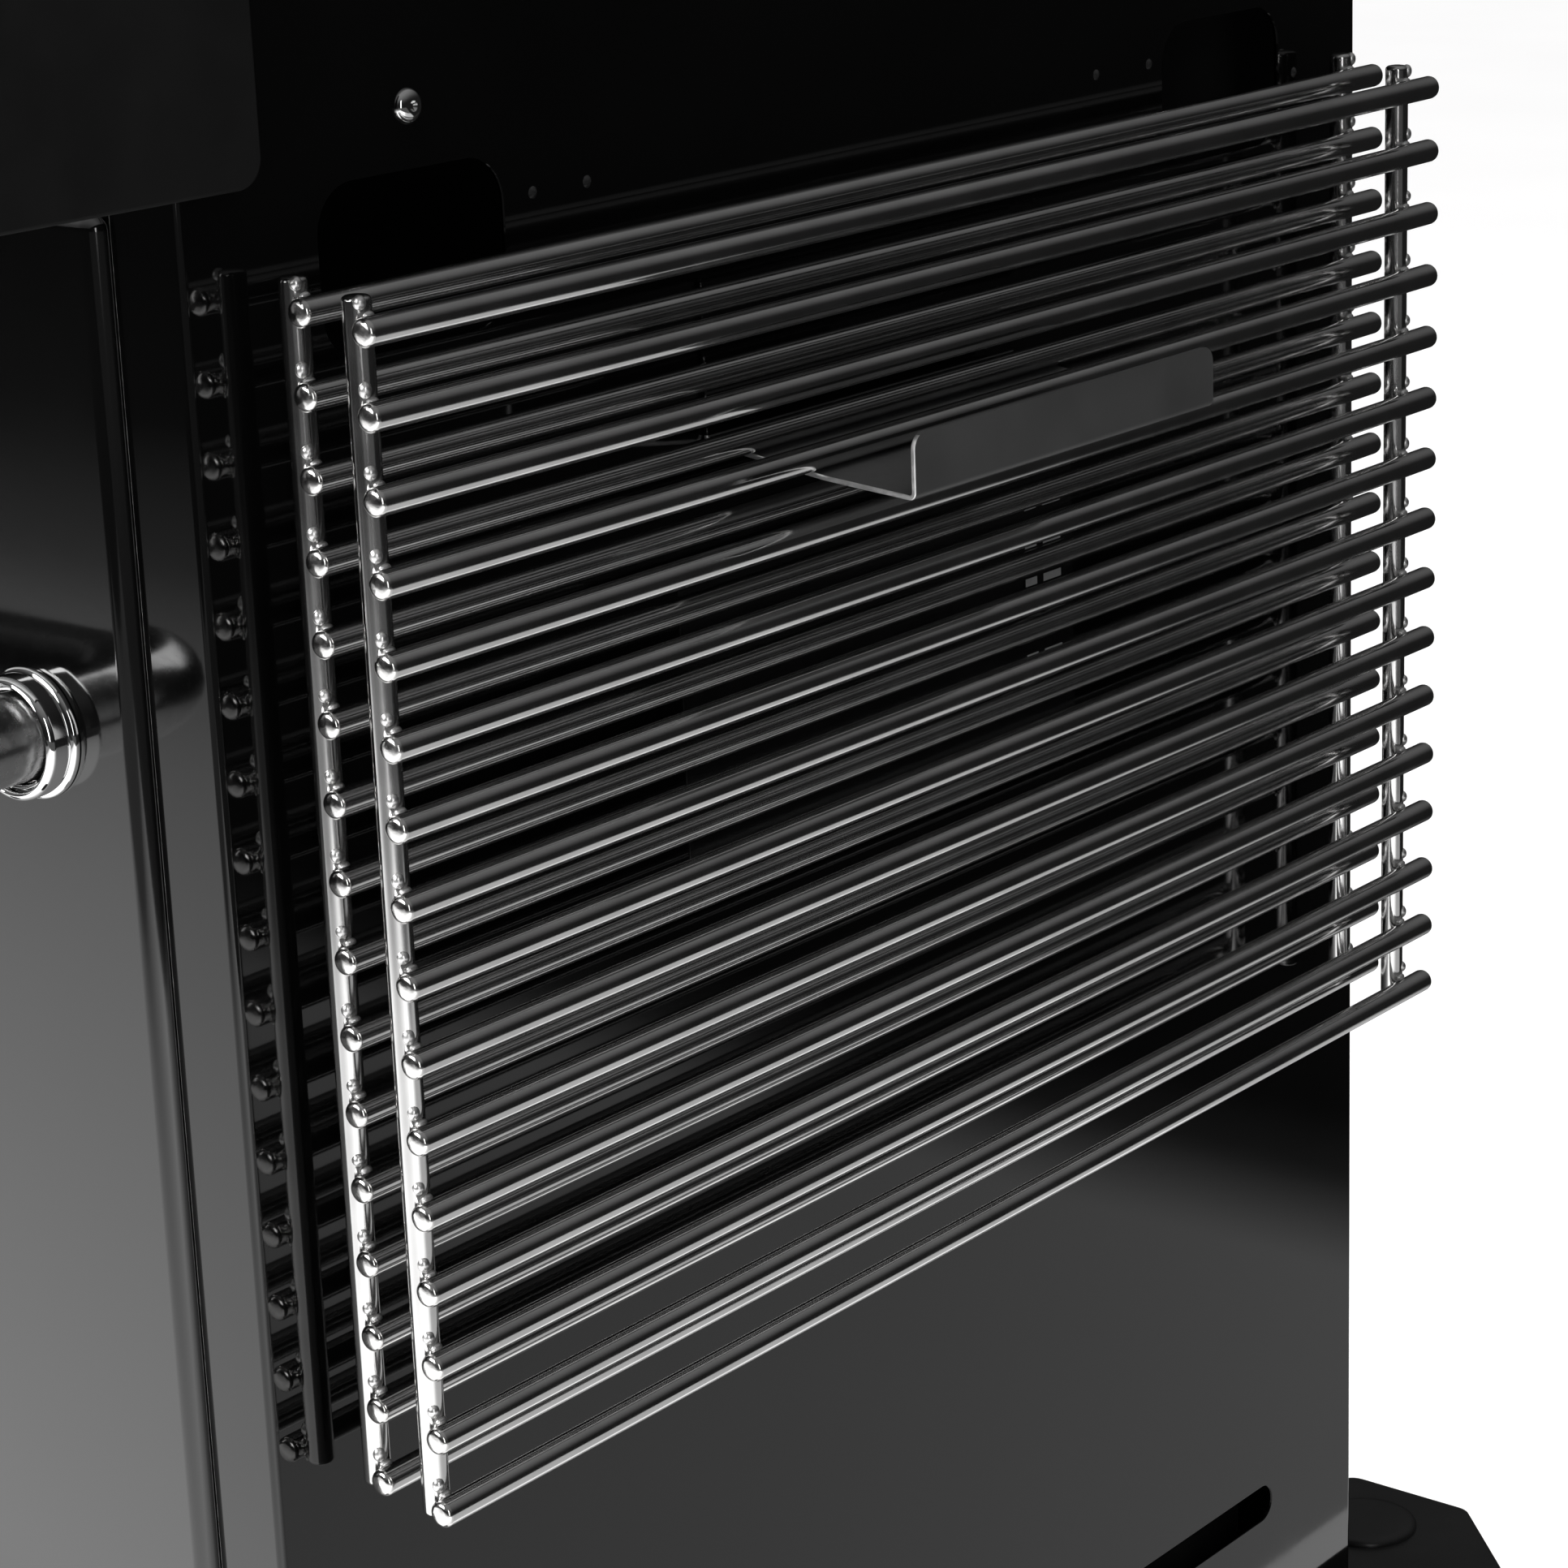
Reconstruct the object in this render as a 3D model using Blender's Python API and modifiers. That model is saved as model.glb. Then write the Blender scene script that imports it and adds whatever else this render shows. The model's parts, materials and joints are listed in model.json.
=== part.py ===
"""Vertical water smoker: a sheet-metal cabinet with a gas-fired smoke chamber above a cylinder drawer.

Metres, +Z up. The cabinet is laid out round x = 0, y = 0 with the floor at FLOOR_Z, and the last
step moves everything by ORIGIN, so that the origin is on the floor under the middle of the whole
object. The doors face -Y, and the spare cooking grates hang on the +X side.
"""

import math

import bmesh
import bpy
from mathutils import Matrix, Vector

GAP = 0.0003
SHEET = 0.0015

# Cabinet
WIDTH = 0.620
FLOOR_Z = -0.0385
BASE_Z = 0.0755
TOP_Z = 1.330
HALF_W = WIDTH / 2
FRONT = -0.2865
BACK = 0.2885
FLANGE = 0.0255
BEND = 0.0024

# Cooking grates
ROD_D = 0.008
ROD_PITCH = 0.02216
ROD_COUNT = 16
GRATE_LENGTH = 0.5324
CROSS_IN_NEAR = 0.0033
CROSS_IN_FAR = 0.0112
CROSS_PAST = 0.00865
WELD_SINK = 0.0006

# Grates stored on the right side
TOP_ROD_Z = BASE_Z + 0.6150
OUTER_CROSS_X = HALF_W + 0.0342
INNER_CROSS_X = HALF_W + 0.0114
INNER_RISE = 0.0032
STORED_Y = 0.0052
HOOK_SHEET = 0.0015
HOOK_FALL = 0.08
HOOK_REACH = 0.0793
HOOK_Y = (-0.083, 0.073)
HOOK_LIP = 0.0190

# Side panel openings
VENT_Y = 0.2003
VENT_W = 0.073
VENT_TOP = TOP_ROD_Z + 0.031
VENT_H = 0.048
VENT_R = 0.014
SLOT_Z = BASE_Z + 0.0737
SLOT_H = 0.0148
SLOT_END = 0.230

# Smoke chamber
DECK_Z = 0.748
LINER_X = 0.278
LINER_BACK = 0.258
LINER_Z = (0.755, 1.305)
DOOR_Z = (0.870, 1.298)
DOOR_X = 0.306
DOOR_T = 0.030
GASKET_T = 0.004
HINGE_X = -0.3175
HINGE_Z = (0.960, 1.210)
LEDGES = (0.838, 0.925, 1.010, 1.150)
LEDGE_IN = 0.250
RACK_BACK = 0.252

# Console
CONSOLE_Z = (TOP_ROD_Z + 0.035, 0.862)
CONSOLE_FRONT = -0.378
CHEEK_BACK = FRONT + 0.0243
CHEEK_T = 0.008
KNOB_X = 0.120
KNOB_Z = 0.800

# Drawer
DRAWER_X = HALF_W - 0.031
DRAWER_Z = (0.0925, 0.721)
DRAWER_T = 0.022
DRAWER_PROUD = 0.0055
HANDLE_D = 0.025
COLLAR_D = 0.035
COLLAR_H = 0.0095
HANDLE_OUT = 0.058
DRAWER_HANDLE_X = HALF_W - 0.067
DRAWER_HANDLE_Z = TOP_ROD_Z - 0.115
TRAY_X = 0.262

# Casters
POD_X = HALF_W - 0.034
POD_W = 0.132
POD_OUT = BACK + 0.106
POD_IN = BACK - 0.050
POD_CHAMFER = 0.0387
POD_T = 0.020
BOSS_D = 0.043
BOSS_H = 0.003
CASTER_Y = BACK + 0.0675
WHEEL_D = 0.076
WHEEL_W = 0.024
TRAIL = 0.020

# The point on the floor under the middle of the whole object
ORIGIN = (0.02365, 0.0066, FLOOR_Z)


def clear_scene():
    for obj in list(bpy.data.objects):
        bpy.data.objects.remove(obj, do_unlink=True)


def new_collection(name, hidden=False):
    collection = bpy.data.collections.new(name)
    bpy.context.scene.collection.children.link(collection)
    collection.hide_render = hidden
    return collection


def material(name, color, roughness, metallic):
    made = bpy.data.materials.new(name)
    made.use_nodes = True
    shader = made.node_tree.nodes["Principled BSDF"]
    shader.inputs["Base Color"].default_value = (*color, 1.0)
    shader.inputs["Roughness"].default_value = roughness
    shader.inputs["Metallic"].default_value = metallic
    return made


def add_object(name, data, finish=None, matrix=None):
    """A visible part when it has a finish, and a hidden helper when it has none."""
    obj = bpy.data.objects.new(name, data)
    if matrix is not None:
        obj.matrix_world = matrix
    if finish is None:
        obj.hide_render = True
        obj.display_type = "WIRE"
        HELPERS.objects.link(obj)
        return obj
    if not data.materials:
        data.materials.append(finish)
    PARTS.objects.link(obj)
    return obj


def mesh_from(bm, name):
    bmesh.ops.recalc_face_normals(bm, faces=bm.faces)
    mesh = bpy.data.meshes.new(name)
    bm.to_mesh(mesh)
    bm.free()
    return mesh


def box(name, low, high, finish=None):
    bm = bmesh.new()
    bmesh.ops.create_cube(bm, size=1.0)
    middle = (Vector(low) + Vector(high)) / 2
    size = Vector(high) - Vector(low)
    bmesh.ops.scale(bm, vec=size, verts=bm.verts)
    bmesh.ops.translate(bm, vec=middle, verts=bm.verts)
    return add_object(name, mesh_from(bm, name), finish)


def aim(start, end):
    """The matrix that takes local +Z to the line from start to end."""
    start = Vector(start)
    end = Vector(end)
    turn = (end - start).to_track_quat("Z", "Y").to_matrix().to_4x4()
    return Matrix.Translation((start + end) / 2) @ turn


def cylinder_mesh(name, radius, length, sides, radius_end=None):
    bm = bmesh.new()
    far = radius if radius_end is None else radius_end
    bmesh.ops.create_cone(
        bm, cap_ends=True, segments=sides, radius1=radius, radius2=far, depth=length
    )
    return mesh_from(bm, name)


def cylinder(name, start, end, radius, finish=None, sides=24):
    length = (Vector(end) - Vector(start)).length
    return add_object(name, cylinder_mesh(name, radius, length, sides), finish, aim(start, end))


def turned(name, profile, place, finish=None, steps=24):
    """A solid turned about local Z. The profile is (radius, height) points from top to bottom."""
    mesh = bpy.data.meshes.new(name)
    points = [(radius, 0.0, height) for radius, height in profile]
    mesh.from_pydata(points, [(i, i + 1) for i in range(len(points) - 1)], [])
    obj = add_object(name, mesh, finish, place)
    screw = obj.modifiers.new("turn", "SCREW")
    screw.steps = steps
    screw.render_steps = steps
    screw.use_merge_vertices = True
    screw.merge_threshold = 0.00001
    screw.use_smooth_shade = True
    return obj


def tube(name, points, radius, finish=None, resolution=4, cyclic=False):
    """A round wire along points, with filled ends, welded into a closed mesh."""
    curve = bpy.data.curves.new(name, "CURVE")
    curve.dimensions = "3D"
    curve.bevel_depth = radius
    curve.bevel_resolution = resolution
    curve.use_fill_caps = True
    spline = curve.splines.new("POLY")
    spline.points.add(len(points) - 1)
    for point, place in zip(spline.points, points):
        point.co = (*place, 1.0)
    spline.use_cyclic_u = cyclic
    obj = add_object(name, curve)
    return to_mesh(obj, name, finish)


def to_mesh(obj, name, finish=None):
    """Replaces a curve, or an object with modifiers, by its own evaluated mesh."""
    bpy.context.view_layer.update()
    evaluated = obj.evaluated_get(bpy.context.evaluated_depsgraph_get())
    mesh = bpy.data.meshes.new_from_object(evaluated)
    mesh.materials.clear()
    matrix = obj.matrix_world.copy()
    bpy.data.objects.remove(obj, do_unlink=True)
    bm = bmesh.new()
    bm.from_mesh(mesh)
    bmesh.ops.remove_doubles(bm, verts=bm.verts, dist=0.00001)
    bmesh.ops.recalc_face_normals(bm, faces=bm.faces)
    bm.to_mesh(mesh)
    bm.free()
    mesh.name = name
    return add_object(name, mesh, finish, matrix)


def rounded_outline(corners, radii, steps=4):
    """Corner points of a flat outline with each corner rounded by its own radius."""
    points = []
    count = len(corners)
    for i in range(count):
        corner = Vector(corners[i])
        before = (Vector(corners[i - 1]) - corner).normalized()
        after = (Vector(corners[(i + 1) % count]) - corner).normalized()
        radius = radii[i] if isinstance(radii, (list, tuple)) else radii
        if radius <= 0:
            points.append(tuple(corner))
            continue
        half = before.angle(after) / 2
        back = radius / math.tan(half)
        middle = corner + (before + after).normalized() * (radius / math.sin(half))
        start = corner + before * back - middle
        end = corner + after * back - middle
        sweep = start.angle_signed(end)
        for k in range(steps + 1):
            turn = Matrix.Rotation(-sweep * k / steps, 2)
            points.append(tuple(middle + turn @ start))
    return points


def plate(name, outline, thickness, place, finish=None):
    """A flat outline in local XY, raised along local +Z by its thickness."""
    bm = bmesh.new()
    verts = [bm.verts.new((x, y, 0.0)) for x, y in outline]
    face = bm.faces.new(verts)
    raised = bmesh.ops.extrude_face_region(bm, geom=[face])["geom"]
    top = [item for item in raised if isinstance(item, bmesh.types.BMVert)]
    bmesh.ops.translate(bm, vec=(0, 0, thickness), verts=top)
    return add_object(name, mesh_from(bm, name), finish, place)


def folded(name, path, low, high, finish, thickness=SHEET, side=-1.0, bend=BEND, place=None):
    """Sheet metal: a path in local XY swept along local Z, with its folds rounded."""
    bm = bmesh.new()
    rows = [[bm.verts.new((x, y, z)) for x, y in path] for z in (low, high)]
    for i in range(len(path) - 1):
        bm.faces.new((rows[0][i], rows[0][i + 1], rows[1][i + 1], rows[1][i]))
    mesh = bpy.data.meshes.new(name)
    bm.to_mesh(mesh)
    bm.free()
    obj = add_object(name, mesh, finish, place)
    if bend > 0:
        fold = obj.modifiers.new("fold", "BEVEL")
        fold.width = bend
        fold.segments = 3
        fold.limit_method = "ANGLE"
    solid = obj.modifiers.new("sheet", "SOLIDIFY")
    solid.thickness = thickness
    solid.offset = side
    return obj


def open_box(name, low, high, missing, finish, thickness=SHEET, bend=0.0):
    """A box of sheet metal with one face left out. Its walls grow inwards from low and high."""
    bm = bmesh.new()
    bmesh.ops.create_cube(bm, size=1.0)
    bmesh.ops.scale(bm, vec=Vector(high) - Vector(low), verts=bm.verts)
    bmesh.ops.translate(bm, vec=(Vector(high) + Vector(low)) / 2, verts=bm.verts)
    away = Vector(missing)
    gone = [face for face in bm.faces if face.normal.dot(away) > 0.9]
    bmesh.ops.delete(bm, geom=gone, context="FACES")
    mesh = bpy.data.meshes.new(name)
    bm.to_mesh(mesh)
    bm.free()
    obj = add_object(name, mesh, finish)
    if bend > 0:
        fold = obj.modifiers.new("fold", "BEVEL")
        fold.width = bend
        fold.segments = 2
        fold.limit_method = "ANGLE"
    solid = obj.modifiers.new("sheet", "SOLIDIFY")
    solid.thickness = thickness
    solid.offset = -1.0
    solid.use_even_offset = True
    return obj


def move_origin(obj, point):
    """Puts the object's origin on the axis it turns about, and leaves its shape where it is."""
    obj.data.transform(Matrix.Translation(-Vector(point)) @ obj.matrix_world)
    obj.matrix_world = Matrix.Translation(point)


def ride_on(name, point, riders):
    """An empty on the axis that the riders turn or slide about together."""
    pivot = bpy.data.objects.new(name, None)
    pivot.location = point
    PARTS.objects.link(pivot)
    for rider in riders:
        obj = bpy.data.objects[rider]
        obj.parent = pivot
        obj.matrix_parent_inverse = Matrix.Translation(-Vector(point))


def combine(obj, others, operation):
    for other in others:
        step = obj.modifiers.new(operation.lower(), "BOOLEAN")
        step.operation = operation
        step.object = other
        step.solver = "EXACT"
    return obj


def cut(obj, *others):
    return combine(obj, others, "DIFFERENCE")


def join(obj, *others):
    return combine(obj, others, "UNION")


def soften(obj, width, segments=2):
    edge = obj.modifiers.new("soften", "BEVEL")
    edge.width = width
    edge.segments = segments
    edge.limit_method = "ANGLE"
    return obj


def along_x(x, y, z):
    """Local X, Y, Z become world Y, Z, X."""
    columns = Matrix(((0, 0, 1, x), (1, 0, 0, y), (0, 1, 0, z), (0, 0, 0, 1)))
    return columns


def along_front(x, y, z):
    """Local Z points to world -Y, local X to world X and local Y to world Z."""
    return Matrix(((1, 0, 0, x), (0, 0, -1, y), (0, 1, 0, z), (0, 0, 0, 1)))


# Cabinet


def make_side_panel(sign, finish):
    name = "side_panel_right" if sign > 0 else "side_panel_left"
    face = sign * HALF_W
    path = [
        (face - sign * FLANGE, FRONT),
        (face, FRONT),
        (face, BACK),
        (face - sign * 0.012, BACK),
    ]
    panel = folded(name, path, BASE_Z, TOP_Z - 0.004, finish, side=-sign)
    for place, end in (("front", -1), ("rear", 1)):
        corners = [
            (end * VENT_Y - VENT_W / 2, VENT_TOP - VENT_H),
            (end * VENT_Y + VENT_W / 2, VENT_TOP - VENT_H),
            (end * VENT_Y + VENT_W / 2, VENT_TOP),
            (end * VENT_Y - VENT_W / 2, VENT_TOP),
        ]
        hole = plate(
            f"{name}_{place}_vent",
            rounded_outline(corners, VENT_R),
            0.02,
            along_x(face - 0.01, 0, 0),
        )
        cut(panel, hole)
    corners = [
        (-SLOT_END, SLOT_Z - SLOT_H / 2),
        (SLOT_END, SLOT_Z - SLOT_H / 2),
        (SLOT_END, SLOT_Z + SLOT_H / 2),
        (-SLOT_END, SLOT_Z + SLOT_H / 2),
    ]
    slot = plate(
        f"{name}_slot",
        rounded_outline(corners, SLOT_H * 0.4999),
        0.02,
        along_x(face - 0.01, 0, 0),
    )
    return cut(panel, slot)


def make_base_pan(finish):
    inside = HALF_W - SHEET - GAP
    front = FRONT + SHEET + GAP
    back = BACK - 2 * SHEET - 3 * GAP
    pan = open_box(
        "base_pan", (-inside, front, BASE_Z), (inside, back, BASE_Z + 0.013), (0, 0, 1), finish
    )
    for sign in (-1, 1):
        outer = sign * 0.2815
        inner = sign * 0.2655
        low = (min(outer, inner), -0.262, BASE_Z + 0.0005)
        high = (max(outer, inner), 0.250, 0.1295)
        rail = box(f"runner_{sign}", low, high)
        slide = box(
            f"runner_slot_{sign}",
            (min(sign * 0.2800, sign * 0.2640), -0.270, 0.1075),
            (max(sign * 0.2800, sign * 0.2640), 0.248, 0.1235),
        )
        join(pan, rail)
        cut(pan, slide)
    return pan


def make_back_panel(finish):
    inside = HALF_W - SHEET - GAP
    front = BACK - 2 * SHEET - GAP
    panel = box(
        "back_panel",
        (-inside, front, BASE_Z + 0.002),
        (inside, front + SHEET, TOP_Z - 0.002),
        finish,
    )
    for row in range(5):
        z = 0.200 + row * 0.030
        corners = [(-0.160, z - 0.005), (0.160, z - 0.005), (0.160, z + 0.005), (-0.160, z + 0.005)]
        hole = plate(
            f"back_vent_{row}",
            rounded_outline(corners, 0.0048, 3),
            0.02,
            along_front(0, BACK + 0.01, 0),
        )
        cut(panel, hole)
    return panel


def make_roof(finish):
    over = 0.0022
    roof = open_box(
        "roof_panel",
        (-HALF_W - over, FRONT - over, TOP_Z - 0.020),
        (HALF_W + over, BACK + over, TOP_Z + GAP + SHEET),
        (0, 0, -1),
        finish,
        bend=0.004,
    )
    return cut(roof, cylinder("roof_hole", (0, 0.130, TOP_Z - 0.05), (0, 0.130, TOP_Z + 0.05), 0.0405))


def make_deck(finish):
    """The floor under the chamber, with two hangers below it that carry the grease tray."""
    inside = HALF_W - SHEET - GAP
    deck = box(
        "deck_plate",
        (-inside, FRONT + 0.003, DECK_Z),
        (inside, BACK - 0.005, DECK_Z + SHEET),
        finish,
    )
    for sign in (-1, 1):
        web = sign * 0.152
        path_low = (min(web, web + sign * SHEET), -0.130, 0.7185)
        path_high = (max(web, web + sign * SHEET), 0.215, DECK_Z + 0.0005)
        shelf = sign * 0.138
        join(deck, box(f"hanger_web_{sign}", path_low, path_high))
        join(
            deck,
            box(
                f"hanger_shelf_{sign}",
                (min(web + sign * 0.001, shelf), -0.130, 0.7180),
                (max(web + sign * 0.001, shelf), 0.215, 0.7195),
            ),
        )
    return cut(deck, cylinder("deck_drain", (0, 0.04, 0.70), (0, 0.04, 0.80), 0.020))


def make_liner(finish):
    """The inner box of the chamber, open to the front, with a flange that closes the cabinet's face."""
    front = FRONT + SHEET + GAP
    liner = open_box(
        "chamber_liner",
        (-LINER_X - SHEET, front, LINER_Z[0]),
        (LINER_X + SHEET, LINER_BACK + SHEET, LINER_Z[1]),
        (0, -1, 0),
        finish,
    )
    inside = HALF_W - SHEET - GAP
    flange = box(
        "liner_flange",
        (-inside, front, LINER_Z[0] - 0.003),
        (inside, front + SHEET, TOP_Z - 0.002),
    )
    doorway = box(
        "liner_doorway",
        (-LINER_X, front - 0.01, DOOR_Z[0] + 0.012),
        (LINER_X, front + 0.01, LINER_Z[1] - SHEET),
    )
    cut(flange, doorway)
    join(liner, flange)
    for sign in (-1, 1):
        hole = cylinder(
            f"burner_hole_{sign}",
            (sign * KNOB_X, front - 0.01, KNOB_Z),
            (sign * KNOB_X, front + 0.01, KNOB_Z),
            0.0145,
        )
        cut(liner, hole)
    cut(liner, cylinder("liner_smoke_hole", (0, 0.130, 1.29), (0, 0.130, 1.32), 0.038))
    return cut(liner, cylinder("liner_drain", (0, 0.04, 0.74), (0, 0.04, 0.77), 0.012))


def make_gasket(finish):
    """A flat rope seal round the doorway, on the face of the liner's flange."""
    outer = [(-0.2835, DOOR_Z[0] + 0.003), (0.2835, DOOR_Z[0] + 0.003), (0.2835, 1.292), (-0.2835, 1.292)]
    inner = [(-0.272, DOOR_Z[0] + 0.0145), (0.272, DOOR_Z[0] + 0.0145), (0.272, 1.2805), (-0.272, 1.2805)]
    start = FRONT + SHEET
    seal = plate("door_gasket", rounded_outline(outer, 0.012, 3), 0.0052, along_front(0, start, 0), finish)
    hollow = plate(
        "gasket_hollow",
        rounded_outline(inner, 0.006, 3),
        0.02,
        along_front(0, start + 0.005, 0),
    )
    return cut(seal, hollow)


def make_rack_rail(sign, finish):
    name = "rack_rail_right" if sign > 0 else "rack_rail_left"
    wall = sign * (LINER_X - GAP)
    web = sign * (LINER_X - GAP - SHEET)
    rail = box(
        name,
        (min(wall, web), -0.190, LEDGES[0] - 0.012),
        (max(wall, web), -0.150, LEDGES[-1] + 0.020),
        finish,
    )
    join(
        rail,
        box(
            f"{name}_rear_post",
            (min(wall, web), 0.180, LEDGES[0] - 0.012),
            (max(wall, web), 0.220, LEDGES[-1] + 0.020),
        ),
    )
    inner = sign * LEDGE_IN
    for level, z in enumerate(LEDGES):
        ledge = box(
            f"{name}_ledge_{level}",
            (min(inner, web + sign * 0.0005), -0.262, z - 0.002),
            (max(inner, web + sign * 0.0005), RACK_BACK + 0.003, z),
        )
        join(rail, ledge)
    return rail


def make_chimney(finish):
    bottom = LINER_Z[1] + GAP
    flange = TOP_Z + SHEET + 2 * GAP
    profile = [
        (0.0380, 1.405),
        (0.0420, 1.405),
        (0.0420, 1.400),
        (0.0400, 1.400),
        (0.0400, flange + 0.002),
        (0.0600, flange + 0.002),
        (0.0600, flange),
        (0.0400, flange),
        (0.0400, bottom),
        (0.0380, bottom),
        (0.0380, 1.405),
    ]
    pipe = turned("chimney", profile, Matrix.Translation((0, 0.130, 0)), finish, 24)
    return cut(pipe, cylinder("damper_bore", (-0.06, 0.130, 1.372), (0.06, 0.130, 1.372), 0.0034, sides=16))


def make_damper(finish):
    """A butterfly plate on its shaft, with the lever outside the pipe."""
    damper = cylinder("damper_plate", (0, 0.130, 1.3712), (0, 0.130, 1.3728), 0.0368, finish, 28)
    join(damper, cylinder("damper_shaft", (-0.046, 0.130, 1.372), (0.058, 0.130, 1.372), 0.0030, sides=12))
    return join(damper, box("damper_lever", (0.0535, 0.092, 1.3695), (0.0565, 0.136, 1.3745)))


# Console and burners


def console_profile(front, back, low, high, inset=0.0):
    """The console's side outline in (Y, Z)."""
    corners = [
        (front + inset, low + inset),
        (back, low + inset),
        (back, high - inset),
        (front + 0.020 + inset, high - inset),
    ]
    radii = [0.016 - inset, 0.0, 0.0, 0.034 - inset]
    return rounded_outline(corners, radii, 5)


def make_console_fascia(finish):
    low, high = CONSOLE_Z
    back = FRONT - GAP
    inside = HALF_W - GAP
    fascia = plate(
        "console_fascia",
        console_profile(CONSOLE_FRONT + 0.004, back, low + 0.004, high - 0.004),
        2 * inside,
        along_x(-inside, 0, 0),
        finish,
    )
    hollow = plate(
        "fascia_hollow",
        console_profile(CONSOLE_FRONT + 0.004, back + 0.02, low + 0.004, high - 0.004, SHEET),
        2 * (inside + 0.01),
        along_x(-inside - 0.01, 0, 0),
    )
    cut(fascia, hollow)
    for sign in (-1, 1):
        hole = cylinder(
            f"stem_hole_{sign}",
            (sign * KNOB_X, -0.40, KNOB_Z),
            (sign * KNOB_X, -0.34, KNOB_Z),
            0.0065,
            sides=16,
        )
        cut(fascia, hole)
    return cut(fascia, cylinder("igniter_hole", (0, -0.40, KNOB_Z), (0, -0.34, KNOB_Z), 0.0105, sides=20))


def make_console_cheek(sign, finish):
    name = "console_cheek_right" if sign > 0 else "console_cheek_left"
    low, high = CONSOLE_Z
    corners = [
        (CONSOLE_FRONT, low),
        (CHEEK_BACK, low),
        (CHEEK_BACK, high),
        (CONSOLE_FRONT + 0.020, high),
    ]
    outline = rounded_outline(corners, [0.020, 0.008, 0.008, 0.038], 5)
    start = HALF_W + GAP if sign > 0 else -HALF_W - GAP - CHEEK_T
    cheek = plate(name, outline, CHEEK_T, along_x(start, 0, 0), finish)
    return soften(cheek, 0.0012, 1)


def make_manifold(finish):
    """The gas pipe behind the fascia with its two valves and their stems."""
    pipe = cylinder("gas_manifold", (-0.190, -0.338, 0.775), (0.190, -0.338, 0.775), 0.008, finish, 16)
    for sign in (-1, 1):
        x = sign * KNOB_X
        join(pipe, box(f"valve_body_{sign}", (x - 0.012, -0.350, 0.768), (x + 0.012, -0.318, 0.814)))
        join(
            pipe,
            cylinder(f"valve_stem_{sign}", (x, -0.392, KNOB_Z), (x, -0.345, KNOB_Z), 0.0045, sides=12),
        )
        join(
            pipe,
            cylinder(f"valve_jet_{sign}", (x, -0.320, KNOB_Z), (x, -0.300, KNOB_Z), 0.0040, sides=12),
        )
    return pipe


def make_knob(sign, finish):
    name = "burner_knob_right" if sign > 0 else "burner_knob_left"
    face = CONSOLE_FRONT + 0.004 - 0.0008
    profile = [
        (0.0, 0.026),
        (0.0165, 0.026),
        (0.0185, 0.024),
        (0.0205, 0.008),
        (0.0260, 0.0045),
        (0.0265, 0.0),
        (0.0052, 0.0),
        (0.0052, 0.019),
        (0.0, 0.019),
    ]
    return turned(name, profile, along_front(sign * KNOB_X, face, KNOB_Z), finish, 20)


def make_igniter(finish):
    face = CONSOLE_FRONT + 0.004
    profile = [
        (0.0, 0.009),
        (0.0088, 0.009),
        (0.0100, 0.0078),
        (0.0100, -0.012),
        (0.0, -0.012),
    ]
    return turned("igniter_button", profile, along_front(0, face, KNOB_Z), finish, 20)


def make_burner(sign, finish):
    """A tube burner, open at the front where its jet points in."""
    name = "burner_right" if sign > 0 else "burner_left"
    x = sign * KNOB_X
    profile = [
        (0.0118, 0.305),
        (0.0135, 0.305),
        (0.0135, -0.200),
        (0.0, -0.200),
        (0.0, -0.1985),
        (0.0118, -0.1985),
        (0.0118, 0.305),
    ]
    burner = turned(name, profile, along_front(x, 0, KNOB_Z), finish, 16)
    join(
        burner,
        box(f"{name}_foot", (x - 0.010, 0.150, LINER_Z[0] + SHEET + GAP), (x + 0.010, 0.1515, KNOB_Z - 0.011)),
    )
    return join(
        burner,
        box(f"{name}_front_foot", (x - 0.010, -0.2300, LINER_Z[0] + SHEET + GAP), (x + 0.010, -0.2285, KNOB_Z - 0.011)),
    )


def make_heat_diffuser(finish):
    """A folded plate across the lowest ledges that spreads the flame under the wood tray."""
    z = LEDGES[0] + GAP
    half = LINER_X - 0.004
    path = [(-half, z), (-0.235, z), (-0.215, z - 0.014), (0.215, z - 0.014), (0.235, z), (half, z)]
    sheet = folded(
        "heat_diffuser", path, -0.240, 0.258, finish, side=-1.0, bend=0.0,
        place=Matrix(((1, 0, 0, 0), (0, 0, -1, 0), (0, 1, 0, 0), (0, 0, 0, 1))),
    )
    for sign in (-1, 1):
        for column in range(4):
            x = sign * (0.045 + column * 0.045)
            hole = box(f"diffuser_slot_{sign}_{column}", (x - 0.006, 0.030, 0.80), (x + 0.006, 0.210, 0.85))
            cut(sheet, hole)
    return sheet


# Pans and grates


def pan(name, half_x, low_y, high_y, rim_z, depth, taper, rim, finish, thickness=0.0014):
    """A pressed rectangular pan with sloping walls and a flat rim."""
    middle = (low_y + high_y) / 2
    half_y = (high_y - low_y) / 2
    rings = (
        (half_x, half_y, 0.0),
        (half_x - rim, half_y - rim, 0.0),
        (half_x - rim - taper, half_y - rim - taper, -depth),
    )
    bm = bmesh.new()
    loops = []
    for x, y, z in rings:
        corners = ((-x, -y), (x, -y), (x, y), (-x, y))
        loops.append([bm.verts.new((a, middle + b, rim_z + z)) for a, b in corners])
    for outer, inner in zip(loops, loops[1:]):
        for i in range(4):
            j = (i + 1) % 4
            bm.faces.new((outer[i], outer[j], inner[j], inner[i]))
    bm.faces.new(loops[-1])
    mesh = mesh_from(bm, name)
    obj = add_object(name, mesh, finish)
    solid = obj.modifiers.new("sheet", "SOLIDIFY")
    solid.thickness = thickness
    solid.offset = 0.0
    return obj


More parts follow.
